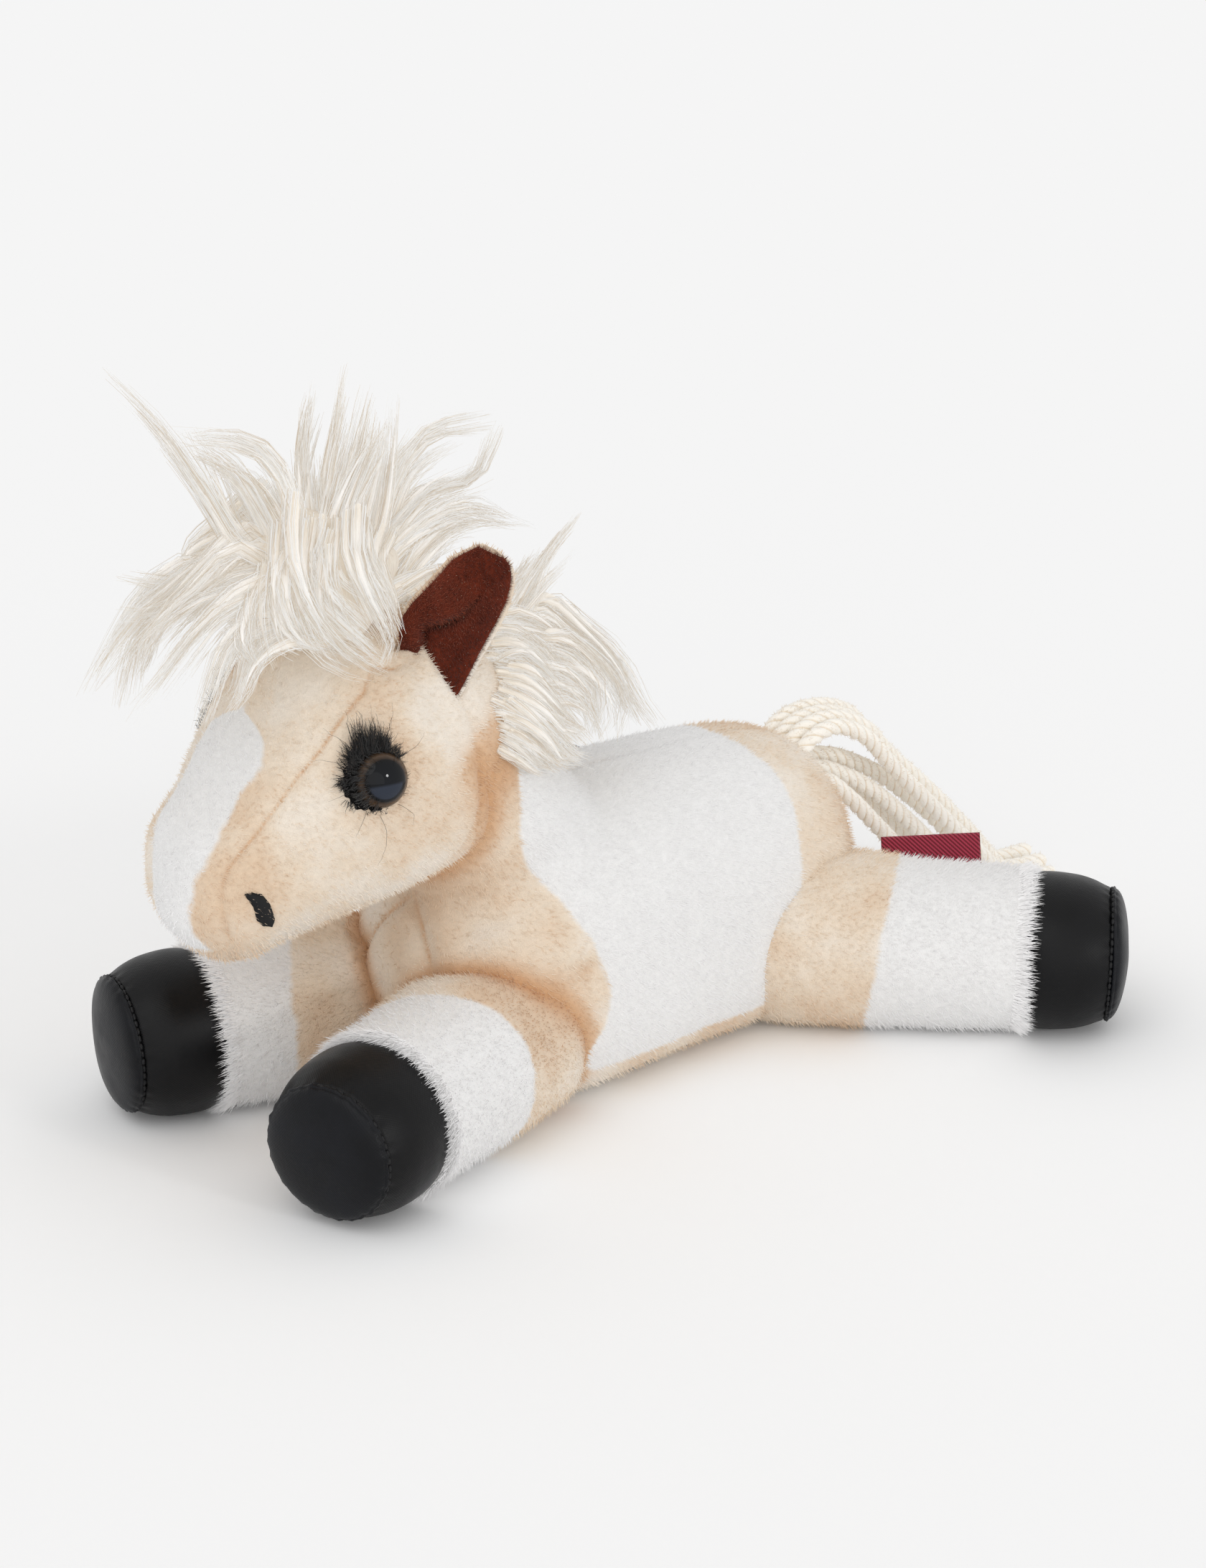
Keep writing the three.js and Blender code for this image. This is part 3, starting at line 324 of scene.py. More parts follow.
def grow(source, tree, name, **sizes):
    """Runs a tree on a piece, and returns what it makes as a new plain mesh object."""
    modifier = source.modifiers.new("grow", "NODES")
    modifier.node_group = tree
    known = {item.name: item.identifier for item in tree.interface.items_tree}
    for label, value in sizes.items():
        modifier[known[label.replace("_", " ")]] = value
    depsgraph = bpy.context.evaluated_depsgraph_get()
    depsgraph.update()
    mesh = bpy.data.meshes.new_from_object(
        source.evaluated_get(depsgraph), preserve_all_data_layers=True, depsgraph=depsgraph
    )
    source.modifiers.remove(modifier)
    piece = bpy.data.objects.new(name, mesh)
    mesh.name = name
    scene.collection.objects.link(piece)
    return piece


def smooth_path(points, steps):
    """A centripetal Catmull-Rom curve through the points, as the solids of the cords have it."""
    p = np.asarray(points, float)
    p = np.vstack([2 * p[0] - p[1], p, 2 * p[-1] - p[-2]])
    out = []
    for i in range(1, len(p) - 2):
        gaps = [np.linalg.norm(p[i + k] - p[i + k - 1]) ** 0.5 for k in range(3)]
        m1 = (p[i] - p[i - 1]) / gaps[0] - (p[i + 1] - p[i - 1]) / (gaps[0] + gaps[1])
        m1 = (m1 + (p[i + 1] - p[i]) / gaps[1]) * gaps[1]
        m2 = (p[i + 1] - p[i]) / gaps[1] - (p[i + 2] - p[i]) / (gaps[1] + gaps[2])
        m2 = (m2 + (p[i + 2] - p[i + 1]) / gaps[2]) * gaps[1]
        for u in np.arange(steps) / steps:
            rise = p[i + 1] - p[i]
            out.append(p[i] + u * (m1 + u * ((3 * rise - 2 * m1 - m2) + u * (m1 + m2 - 2 * rise))))
    return np.array(out + [p[-2]])


def reach_along(path):
    """How far along a line each of its points is."""
    return np.concatenate([[0], np.cumsum(np.linalg.norm(np.diff(path, axis=0), axis=1))])


# %% A plain finish
def linear(code):
    """A colour written as RRGGBB, in the linear numbers that the nodes take."""
    parts = [int(code[i : i + 2], 16) / 255 for i in (0, 2, 4)]
    return [c / 12.92 if c <= 0.04045 else ((c + 0.055) / 1.055) ** 2.4 for c in parts] + [1.0]


def finish_of(name, **values):
    """A new material with its Principled shader. Its constants are set on the shader's sockets."""
    material = bpy.data.materials.new(name)
    material.use_nodes = True
    shader = material.node_tree.nodes["Principled BSDF"]
    for label, value in values.items():
        shader.inputs[label.replace("_", " ")].default_value = value
    return material, material.node_tree, shader


# %% [markdown]
# ## The tail cords
# The tail is eight soft cotton cords. Each has three strands laid round each other, so a round
# tube would look like plastic. A Geometry Nodes tree follows each path, turns a section with
# three lobes as it goes, and so lays the strands. The points of the paths repeat those of the
# solids. They are measured from the floor under the end of the rump.

# %% Paths of the cords
rump_end = 102
cord_radius = 2.7
tail_cords = [
    [[-20, 8, 75], [-10, 8, 82.5], [4, 8, 83.5], [20, 9, 77.5], [33, 11, 64.5], [52, 13, 47.5],
     [73, 14, 26], [92, 15, 6.5], [113, 16, 3]],
    [[-20, 2.7, 76], [-10, 2.7, 82.5], [3, 2.7, 83], [17, 3, 77], [28.5, 4, 65], [48, 5, 47.5],
     [69, 6, 26], [88, 6, 7], [110, 6, 3]],
    [[-20, -2.7, 76], [-10, -2.7, 82.5], [2, -2.7, 83], [16, -3, 76.5], [27, -3, 65],
     [46, -3.3, 47.5], [66, -3.6, 27], [85, -4, 8], [104, -4, 3]],
    [[-20, -8, 75], [-10, -8, 81.5], [0, -8, 82], [12, -8.5, 75.5], [22, -9, 64.5],
     [39, -10, 47], [61, -11, 25], [79, -12, 8], [96, -13, 3]],
    [[-16, 3, 67], [-5, 3, 70], [6, 3, 68], [17.5, 2.8, 62.7], [28.7, 2.5, 55.8],
     [38.5, 2.2, 48], [49, 2, 39], [59, 1.6, 29], [70, 1.2, 14], [86, 1, 3]],
    [[-16, -3, 66], [-5, -3, 68], [7, -3.5, 62.7], [16, -4, 57], [26, -4.7, 48.7],
     [38.5, -5.5, 36.6], [51, -5.8, 24], [65, -6, 11], [80, -7, 3]],
    [[-18, -9, 65], [-7, -9, 66], [2, -10, 59], [13, -11, 47.5], [25, -12, 34.5], [38, -13, 21],
     [50, -14, 10], [70, -16, 3]],
    [[-16, 9, 66], [-5, 9, 68], [3, 8.7, 65], [10, 8, 59.5], [17, 6.5, 54.5], [23.5, 5, 48.4],
     [30.3, 3.5, 41.3], [39, 2, 32.7], [50, 1, 21], [60, 0.5, 10.5], [75, 0, 3]],
]


def cord_path(k):
    """The free part of a cord, from where its solid starts."""
    path = smooth_path(place(np.array(tail_cords[k]) + [rump_end, 0, 0]), 8)
    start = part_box(f"tail_cord_{k + 1}")[0].x
    return path[path[:, 0] > start - 0.002]


# %% The tree that lays three strands
tree, given, out = geometry_tree("lay_strands", {
    "Radius": ("Float", 0.0024),
    "Turns": ("Float", 75.0),
    "Step": ("Float", 0.0007),
    "Cotton": ("Material", None),
})
along = curve_of(tree, given["Geometry"], "Length", given["Step"])
reach = node(tree, "GeometryNodeSplineParameter").outputs["Length"]
turn = calc(tree, "MULTIPLY", calc(tree, "MULTIPLY", reach, given["Turns"]), 2 * math.pi)
along = node(tree, "GeometryNodeSetCurveTilt", {"Curve": along, "Tilt": turn})
along = keep(tree, along, "reach", reach)
section = node(tree, "GeometryNodeCurvePrimitiveCircle", {"Resolution": 24, "Radius": 1.0})
spot = node(tree, "GeometryNodeInputPosition")
x, y, _ = parts_of(tree, spot)
angle = calc(tree, "ARCTAN2", y, x)
lobe = calc(tree, "COSINE", calc(tree, "MULTIPLY", angle, 1.5))
lobe = calc(tree, "POWER", calc(tree, "ABSOLUTE", lobe), 0.6)
lobe = span(tree, lobe, 0.0, 1.0, 0.74, 1.0)
shape = calc(tree, "MULTIPLY", lobe, given["Radius"])
shape = vector_calc(tree, "SCALE", spot, shape)
section = node(tree, "GeometryNodeSetPosition", {"Geometry": section, "Position": shape})
section = keep(tree, section, "strand", lobe)
link(tree, out, {0: painted(tree, swept(tree, along, section), given["Cotton"])})
lay_strands = tree

# %% Cotton
# Between the strands the cord is painted darker and browner, a painted shade. Fine fibres run along each
# strand. The cord also glows weakly in its own colour, a painted light that lifts its shade.
cotton, tree, shader = finish_of("cotton_cord", Roughness=0.95, Sheen_Weight=0.25,
                                 Emission_Strength=0.09)
fibre = noise(tree, object_place(tree), 1400.0, 3.0)
shade = span(tree, from_mesh(tree, "strand"), 0.74, 0.95, 0.0, 0.85)
shade = calc(tree, "MULTIPLY_ADD", fibre, 0.3, shade)
ramp = ramp_of(tree, shade, (0.1, "E6D6BE"), (0.75, "F8F3EA"))
dress(tree, shader, ramp, fibre, 0.0004, 0.6, glow=True)

# %% Lay the eight cords
laid_cords = []
for k in range(len(tail_cords)):
    path = cord_path(k)
    spine = mesh_piece("cord_spine", path, [], [(i, i + 1) for i in range(len(path) - 1)])
    cord = grow(spine, lay_strands, f"tail_cord_{k + 1}_laid", Radius=cord_radius / 1000, Turns=78.0,
                Cotton=cotton)
    bpy.data.objects.remove(spine)
    length = float(np.linalg.norm(np.diff(path, axis=0), axis=1).sum())
    laid_cords.append(cord)
    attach(cord, "torso")
    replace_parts(cord, f"tail_cord_{k + 1}")
    print(cord.name, round(length * 1000), "mm,", triangles(cord), "triangles")

# %% [markdown]
# ## Plush
# The skins are short knitted plush with a printed, marbled peach colour and white areas. The
# pattern is made of two noises, and each skin carries three things at its points: `coat`, the
# place where the cloth was printed, `print_edge`, the distance to the edge of the white area in
# millimetres, and a number that is one in a seam and also holds painted shade in deep folds and
# where two skins meet. A node group turns these into a colour and a height, so that all the skins
# share one cloth.

# %% The node group for plush
tree, given, out = shader_group("printed_plush", {
    "Coat": "Vector", "Print edge": "Float", "Seam": "Float"}, {"Color": "Color", "Height": "Float"})
plush_group = tree
marble_scale, marble_detail, marble_rough = 34.0, 2.5, 0.45
marble = noise(tree, given["Coat"], marble_scale, marble_detail, marble_rough)
peach = ramp_of(tree, marble, (0.36, "F1E7DA"), (0.5, "ECDCC8"), (0.68, "E3CAAF"))
pile = node(tree, "ShaderNodeMapping", {"Vector": given["Coat"], "Scale": (420, 420, 900)})
streak = noise(tree, pile, 1.0, 3.0)
fuzz = noise(tree, given["Coat"], 2600.0, 2.0)
wander = span(tree, noise(tree, given["Coat"], 150.0, 4.0, 0.6), 0.0, 1.0, -1.9, 1.9)
edge = calc(tree, "ADD", given["Print edge"], wander)
white = span(tree, edge, -1.2, 1.2, interpolation_type="SMOOTHSTEP")
printed = mixed(tree, white, peach, "F0EFEE")
ply = calc(tree, "ADD", streak, fuzz)
tone = span(tree, ply, 0.7, 1.3, 0.93, 1.04)
# seams are tinted darker and warmer, and the same number paints warm shade into folds
warm = mixed(tree, given["Seam"], printed, "EAC9A8", "MULTIPLY")
shaded = vector_calc(tree, "SCALE", warm, tone)
rise = calc(tree, "MULTIPLY_ADD", given["Seam"], -1.2, ply)
link(tree, out, {"Color": shaded, "Height": rise})

# %% The material of the skins
plush, tree, shader = finish_of("plush_skin", Roughness=0.95, Sheen_Weight=0.3, Sheen_Roughness=0.5,
                                Specular_IOR_Level=0.2)
cloth = node(tree, "ShaderNodeGroup", node_tree=plush_group)
link(tree, cloth.inputs, {"Coat": from_mesh(tree, "coat", "Vector"), "Seam": from_mesh(tree, "seam_and_shade"),
                          "Print edge": from_mesh(tree, "print_edge")})
dress(tree, shader, cloth, cloth.outputs["Height"], 0.0005, 0.55)
print("plush noise: one patch is about", round(1000 / marble_scale), "mm")

# %% [markdown]
# ## Shapes of the skins
# Torso, head and legs are lofts: rings whose width and height follow a table of shares, the same
# tables as in the solids, with more rings. Where two forms meet, a voxel remesh joins them
# and a little smoothing rounds the joint, as the stretch of plush does.

# %% Loft helpers
def share_curve(table, t):
    """Rows of shares at the places t, on a smooth curve through the rows of the table."""
    table = np.asarray(table, float)
    t, x, last = np.atleast_1d(t), table[:, 0], len(table) - 1
    after = np.minimum(np.arange(last + 1) + 1, last)
    before = np.maximum(np.arange(last + 1) - 1, 0)
    slope = (table[after, 1:] - table[before, 1:]) / (x[after] - x[before])[:, None]
    i = np.clip(np.searchsorted(x, t, side="right") - 1, 0, last - 1)
    wide = x[i + 1] - x[i]
    u, wide = ((t - x[i]) / wide)[:, None], wide[:, None]
    rise = table[i + 1, 1:] - table[i, 1:]
    here, there = slope[i] * wide, slope[i + 1] * wide
    bend = 3 * rise - 2 * here - there
    return table[i, 1:] + u * (here + u * (bend + u * (here + there - 2 * rise)))


def round_ends(t, share):
    return np.sqrt(1 - (1 - np.minimum(np.minimum(t, 1 - t) / share, 1)) ** 2)


def ring(centre, across, upward, half_width, rise, fall, squareness=2.0, low_squareness=None, sides=96):
    turn = 2 * np.pi * np.arange(sides) / sides
    c, s = np.cos(turn), np.sin(turn)
    power = np.where(s > 0, 2 / squareness, 2 / (low_squareness or squareness))
    sideways = half_width * np.sign(c) * np.abs(c) ** power
    height = np.where(s > 0, rise, fall) * np.sign(s) * np.abs(s) ** power
    return centre + sideways[:, None] * across + height[:, None] * upward


def loft(name, rings, first, last):
    """A closed skin over rings of points in millimetres, ended by a point at each end."""
    sides, count = len(rings[0]), len(rings)
    points = np.vstack([[first], *rings, [last]])
    faces, end = [], len(points) - 1
    for i in range(sides):
        j = (i + 1) % sides
        faces += [(0, 1 + j, 1 + i), (end, end - sides + i, end - sides + j)]
        for r in range(count - 1):
            low, high = 1 + r * sides, 1 + (r + 1) * sides
            faces.append((low + i, low + j, high + j, high + i))
    return tidy_mesh(mesh_piece(name, place(points), faces))


def ball(name, middle, deep, wide, high, count, sides=96):
    """A closed ball in rings along x, with its half sizes."""
    rings = [ring(middle - X * deep * math.cos(a), Y, Z, wide * math.sin(a), high * math.sin(a),
                  high * math.sin(a), sides=sides) for a in np.linspace(0, np.pi, count)[1:-1]]
    return loft(name, rings, middle - X * deep, middle + X * deep)


def eased(count):
    return (1 - np.cos(np.pi * np.arange(1, count) / count)) / 2


X, Y, Z = np.eye(3)


def welded(name, parts, voxel, rounds):
    """One skin around several closed forms, with its joints rounded."""
    for other in parts[1:]:
        work = bmesh.new()
        work.from_mesh(parts[0].data)
        work.from_mesh(other.data)
        work.to_mesh(parts[0].data)
        work.free()
        bpy.data.objects.remove(other)
    whole = parts[0]
    remesh = whole.modifiers.new("remesh", "REMESH")
    remesh.mode, remesh.voxel_size, remesh.use_smooth_shade = "VOXEL", voxel, True
    relax = whole.modifiers.new("relax", "SMOOTH")
    relax.factor, relax.iterations = 0.5, rounds
    depsgraph = bpy.context.evaluated_depsgraph_get()
    mesh = bpy.data.meshes.new_from_object(whole.evaluated_get(depsgraph), depsgraph=depsgraph)
    bpy.data.objects.remove(whole)
    piece = bpy.data.objects.new(name, mesh)
    scene.collection.objects.link(piece)
    return tidy_mesh(piece)


# %% Distance helpers for seams and printed edges
def distance_to_line(points, a, b):
    """Distance from each point to the straight line from a to b."""
    along = b - a
    u = np.clip(((points - a) @ along) / (along @ along), 0, 1)
    return np.linalg.norm(points - a - u[:, None] * along, axis=1)


def distance_to_path(points, path):
    """Distance from each point to a chain of straight lines."""
    path = np.asarray(path, float)
    return np.min([distance_to_line(points, a, b) for a, b in zip(path[:-1], path[1:])], axis=0)


def inside_distance(points, outline):
    """Distance to a closed outline in a plane, more than zero inside it."""
    outline = np.asarray(outline, float)
    far, inside = np.full(len(points), 1e9), np.zeros(len(points), bool)
    for a, b in zip(outline, np.roll(outline, -1, 0)):
        far = np.minimum(far, distance_to_line(points, a, b))
        crosses = (a[1] > points[:, 1]) != (b[1] > points[:, 1])
        with np.errstate(divide="ignore", invalid="ignore"):
            at = a[0] + (points[:, 1] - a[1]) / (b[1] - a[1]) * (b[0] - a[0])
        inside ^= crosses & (points[:, 0] < at)
    return np.where(inside, far, -far)


def sew(piece, seams, width=1.5, depth=1.0):
    """Presses seams into a skin, and keeps where they are."""
    points = mm_of(piece)
    near = np.min([distance_to_path(points, path) for path in seams], axis=0)
    groove = np.exp(-((near / width) ** 2))
    pillow = 0.35 * depth * np.exp(-(((near - 3.2 * width) / (1.6 * width)) ** 2))
    move_points(piece, place(points + (pillow - depth * groove)[:, None] * points_of(piece, "normal")))
    store(piece, "seam_and_shade", np.exp(-((near / (0.3 * width)) ** 2)))


def unit(way):
    return way / np.linalg.norm(way)


def mirrored(path):
    return [[x, -y, z] for x, y, z in path]


floor_gap = 0.15


def above_floor(piece):
    points = mm_of(piece)
    points[:, 2] = np.maximum(points[:, 2], floor_gap)
    move_points(piece, place(points))


def stuffed(piece, size, amount, seed):
    """Lets the stuffing swell and sink the skin a little, by a smooth noise."""
    rng = np.random.default_rng(seed)
    points, normals = mm_of(piece), points_of(piece, "normal")
    swell = np.zeros(len(points))
    for k in range(10):
        way = unit(rng.normal(size=3))
        wave = size * rng.uniform(0.6, 1.5)
        swell += np.sin(2 * np.pi * (points @ way) / wave + rng.uniform(0, 6.3)) / 10**0.5
    move_points(piece, place(points + amount * swell[:, None] * normals))


# %% [markdown]
# ### Body
# Torso and neck are one skin. The torso is a loft with a flat belly, the neck an oval tube that
# leans back into the withers. The white saddle crosses the back and stops above the belly.

# %% Torso and neck
torso_length, torso_width, torso_height, chest_x = 177, 87, 92, -75
torso_shares = [
    [0, 0.68, 0.14, 0.72], [0.1, 0.84, 0.04, 0.88], [0.25, 0.99, 0, 0.98], [0.42, 1, 0, 1],
    [0.58, 0.94, 0, 0.99], [0.73, 0.91, 0, 0.97], [0.85, 0.86, 0.03, 0.93],
    [0.94, 0.72, 0.12, 0.84], [1, 0.52, 0.28, 0.7],
]
t = eased(80)
half, under, back = share_curve(torso_shares, t).T
rounding = round_ends(t, 0.15)
middle = ((under + back) * torso_height - 0.5) / 2
reach = ((back - under) * torso_height + 0.5) * rounding / 2
rings = [
    ring(np.array([chest_x + t[i] * torso_length, 0, middle[i]]), Y, Z,
         half[i] * torso_width * rounding[i] / 2, reach[i], reach[i], 2.3, 3.5)
    for i in range(len(t))
]
tips = [
    np.array([x, 0, ((row[2] + row[3]) * torso_height - 0.5) / 2])
    for x, row in ((chest_x, torso_shares[0]), (chest_x + torso_length, torso_shares[-1]))
]
torso_form = loft("torso_form", rings, *tips)

neck_foot, neck_top = np.array([-37.83, 0, 80.96]), np.array([-70.0, 0, 123.08])
neck_along = unit(neck_top - neck_foot)
neck_deep = np.cross(neck_along, Y)
neck_width, neck_depth, length_in_body, length_above = 34, 29, 29, 53
rings = []
for s in np.linspace(-0.9, 1, 30):
    centre = neck_foot + neck_along * (s * length_in_body if s < 0 else s * length_above)
    flare = 1 + 0.1 * max(0.0, 0.5 - s) ** 2
    rings.append(ring(centre, Y, neck_deep, neck_width * flare, *[neck_depth * flare] * 2))
neck_form = loft("neck_form", rings, rings[0].mean(0), rings[-1].mean(0))
body_skin = welded("body_skin", [torso_form, neck_form], voxel=0.00125, rounds=10)
stuffed(body_skin, size=46, amount=0.35, seed=3)
print("body skin:", triangles(body_skin), "triangles")

# %% Seams, folds and the saddle
chest_seam = [[-60, -0.3, 86], [-64.8, -0.5, 67.5], [-68.2, -7.8, 60.7], [-69.8, -12.9, 53.6],
              [-70.4, -15.5, 47.7], [-70, -17, 38]]
belly_seam = [[x, 0, 0.3] for x in np.linspace(-55, 85, 8)]
back_seam = [[-20, 0, 91], [20, 0, 92], [60, 0, 90.5], [85, 0, 84], [97, 0, 72], [102, 0, 58],
             [101, 0, 40], [92, 0, 12]]
shoulder_fold = [[-56, -42, 62], [-50, -44, 54], [-42, -45.5, 48], [-33, -44.5, 47]]
hip_fold = [[70, -42, 60], [72, -42, 52], [70, -44, 44], [64, -44, 36]]
neck_fold = [[-26, -28, 88], [-36, -33, 84], [-46, -35, 78], [-56, -33, 70], [-64, -26, 64]]
sew(body_skin, [chest_seam, mirrored(chest_seam)], width=2.4, depth=1.6)
chest = stored(body_skin, "seam_and_shade")
sew(body_skin, [belly_seam, back_seam], width=1.3, depth=0.8)
seams = np.maximum(stored(body_skin, "seam_and_shade"), chest)
points, normals = mm_of(body_skin), points_of(body_skin, "normal")
press = np.zeros(len(points))
# the deepest parts of the shoulder and hip folds also get painted warm shade
fold_shade = np.zeros(len(points))
for path, width, depth, warmth in ((shoulder_fold, 4.5, 2.6, 0.3), (hip_fold, 4, 2.4, 0.3),
                                   (neck_fold, 6, 2.0, 0)):
    for way in (path, mirrored(path)):
        dip = depth * np.exp(-((distance_to_path(points, way) / width) ** 2))
        press += dip
        fold_shade += warmth * np.where(dip > 0.5 * depth, dip - 0.5 * depth, 0)
move_points(body_skin, place(points - press[:, None] * normals))
store(body_skin, "seam_and_shade", np.maximum(seams, fold_shade))
above_floor(body_skin)
points = mm_of(body_skin)
saddle = [[-50, 130], [-50, 88], [-46, 80], [-39, 70], [-31, 56], [-26, 43], [-25, 36], [-27, 28],
          [-32, 18], [-29, 13], [-20, 12.5], [20, 12.5], [44, 12.5], [51, 16], [55, 35], [58, 60],
          [60, 79], [55, 90], [49, 100], [49, 130]]
saddle = smooth_path(saddle, 6)
store(body_skin, "print_edge", inside_distance(points[:, [0, 2]], saddle))
store(body_skin, "coat", points_of(body_skin))
body_skin.data.materials.append(plush)
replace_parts(body_skin, "torso_cover", "torso_filling", "neck_cover", "neck_filling")
print("white saddle:", int((inside_distance(points[:, [0, 2]], saddle) > 0).mean() * 100), "% of skin")

# %% [markdown]
# ### Head
# The head is a loft along an axis that drops to the muzzle, joined to a ball at its back that
# turns in the neck. Two seams run from the forehead to the nose beside a middle piece, and two more
# run behind the cheeks.

# %% Head
head_length, head_width, crown = 110, 76, 50
drop = math.radians(19)
head_origin = np.array([-53.0, 0, 121])
head_ahead = np.array([-math.cos(drop), 0, -math.sin(drop)])
head_up = np.array([-math.sin(drop), 0, math.cos(drop)])
head_shares = [
    [0, 0.8, 0.62, 0.66], [0.15, 0.95, 0.86, 0.74], [0.3, 1, 1, 0.66], [0.45, 0.97, 0.95, 0.6],
    [0.6, 0.86, 0.77, 0.54], [0.75, 0.72, 0.6, 0.5], [0.9, 0.64, 0.5, 0.45], [1, 0.54, 0.4, 0.38],
]


def on_head(points):
    """Places along the head's axis, as shares, and heights over it."""
    return ((points - head_origin) @ head_ahead) / head_length, (points - head_origin) @ head_up


t = eased(70)
half, above, below = share_curve(head_shares, t).T
rounding = round_ends(t, 0.17)
rings = [
    ring(head_origin + head_ahead * head_length * t[i], Y, head_up,
         half[i] * head_width * rounding[i] / 2, above[i] * crown * rounding[i],
         below[i] * crown * rounding[i], 2.2)
    for i in range(len(t))
]
head_front = loft("head_front", rings, head_origin, head_origin + head_ahead * head_length)
back_radius = 36
head_back = ball("head_back", neck_top, back_radius, back_radius, back_radius, count=50)
head_skin = welded("head_skin", [head_front, head_back], voxel=0.0011, rounds=6)
stuffed(head_skin, size=36, amount=0.25, seed=8)
# the stuffing sits low along the middle of the nose, and the far side of it is a little narrower
points = mm_of(head_skin)
along, lift = on_head(points)
sink = np.interp(along, [0.5, 0.72, 1.1], [0, 1, 1]) * np.interp(lift, [-6, 10], [0, 1])
sink *= np.exp(-((points[:, 1] / 24) ** 2))
narrow = np.clip(points[:, 1] / 15, 0, 1)
points -= (sink * 4.2)[:, None] * head_up + (sink * narrow * 2.4)[:, None] * Y
tip = np.interp(along, [0.78, 1.0], [0, 1]) * np.interp(points[:, 1], [-8, 6], [0, 1])
points -= (tip * 3.4)[:, None] * head_ahead + (tip * narrow * 2.0)[:, None] * Y
move_points(head_skin, place(points))

face_seam = [
    [-80, -27, 159], [-88, -26, 154], [-94.7, -20.8, 150.9], [-100.9, -24.8, 146.4],
    [-106.8, -25.4, 142.6], [-112.1, -25.5, 138.5], [-117.1, -25.1, 132.8], [-123.3, -23.8, 127.1],
    [-130, -22.7, 120.1], [-136.6, -21.8, 113.1], [-142.5, -21.5, 108.3], [-147, -20.8, 103.9],
    [-149.5, -20.3, 98.2], [-149.1, -20.1, 91.1], [-146.9, -19.8, 84.2], [-140, -14, 72],
    [-130, -6, 64.5], [-115, 0, 61],
]
cheek_seam = [
    [-73, -30, 146], [-70.8, -31.5, 139.5], [-69.7, -33.5, 134.3], [-68.6, -35.3, 126.9],
    [-67.4, -35, 117.2], [-67.1, -35.2, 107.7], [-70, -33, 99], [-76, -26, 90], [-84, -14, 82],
]
chin_seam = [[-115, 0, 61], [-100, 0, 68], [-88, 0, 76]]
hull = surface_of(head_skin)


def onto_head(path, lift=0.0):
    """The nearest places on the head's skin, in millimetres."""
    out = []
    for p in place(path):
        spot, normal, _, _ = hull.find_nearest(Vector(p))
        out.append(unplace(np.array(spot) + np.array(normal) * lift / 1000))
    return np.array(out)


seams = [onto_head(path) for path in (face_seam, mirrored(face_seam), cheek_seam,
                                      mirrored(cheek_seam), chin_seam)]
sew(head_skin, seams, width=1.3, depth=0.8)
# the thread shows on the face, and hardly behind the cheek and round the nose
points, thread = mm_of(head_skin), stored(head_skin, "seam_and_shade")
behind = np.minimum(*(distance_to_path(points, seams[k]) for k in (2, 3)))
thread *= np.where(behind < 3, 0.15, np.interp(points[:, 2], [96, 110], [0.2, 0.8]))
store(head_skin, "seam_and_shade", thread)
print("head skin:", triangles(head_skin), "triangles")

# %% The blaze
# Its half width is given along the head's axis, and it lies a little left of the middle.
blaze = [[0.5, -6, 0], [0.555, -1, 3], [0.575, 7, 10], [0.593, 11.4, 14], [0.633, 14.4, 15],
         [0.68, 12.9, 15], [0.71, 11.8, 15], [0.75, 13, 14], [0.8, 13.5, 13], [0.85, 15.3, 12],
         [0.89, 15.8, 10], [0.93, 13.4, 8], [0.97, 12.5, 6], [1.05, 12, 3]]
points = mm_of(head_skin)
along, lift = on_head(points)
left = np.interp(along, [row[0] for row in blaze], [row[1] for row in blaze])
right = np.interp(along, [row[0] for row in blaze], [row[2] for row in blaze])
edge = np.minimum(left + points[:, 1], right - points[:, 1])
edge = np.minimum(edge, np.minimum(lift + 11, (along - 0.548) * head_length))
store(head_skin, "print_edge", edge)
store(head_skin, "coat", points_of(head_skin))
head_skin.data.materials.append(plush)
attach(head_skin, "head")
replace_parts(head_skin, "head_cover", "head_filling")

# %% [markdown]
# ### Legs
# Each leg is a stuffed sleeve from a round shoulder or hip to its hoof. It is made along its own
# axis and then put at its joint. White plush goes round it next to the hoof, further on the outside.

# %% Legs
leg_radius = 27
leg_shares = [[0, 1], [0.3, 1.01], [0.65, 0.97], [1, 0.93]]
legs = {
    # name: (sleeve, heading, white beside the hoof outside, inside and less on top, outward sign)
    "front_left": (60, 197, 38, 18, 0, 1),
    "front_right": (60, 163, 38, 18, 0, -1),
    "hind_left": (73, -46, 44, 42, 4, -1),
    "hind_right": (73, 76, 44, 42, 4, -1),
}
joint_at = {joint["name"]: unplace(joint["pos_m"]) for joint in frame["joints"]}
leg_frames = {}
for name, (sleeve, heading, *_) in legs.items():
    droop = math.atan2(leg_radius - 24.6, sleeve + 13.5)
    turned = Matrix.Rotation(math.radians(heading), 3, "Z") @ Matrix.Rotation(droop, 3, "Y")
    leg_frames[name] = (np.array(turned), joint_at[f"leg_{name}_swing"])


def from_leg(name, points):
    turned, pivot = leg_frames[name]
    return np.asarray(points, float) @ turned.T + pivot


def to_leg(name, points):
    turned, pivot = leg_frames[name]
    return (np.asarray(points, float) - pivot) @ turned


# the top of a front leg is drawn in where it is sewn under the shoulder, as a share
shoulder_tuck = 0.14
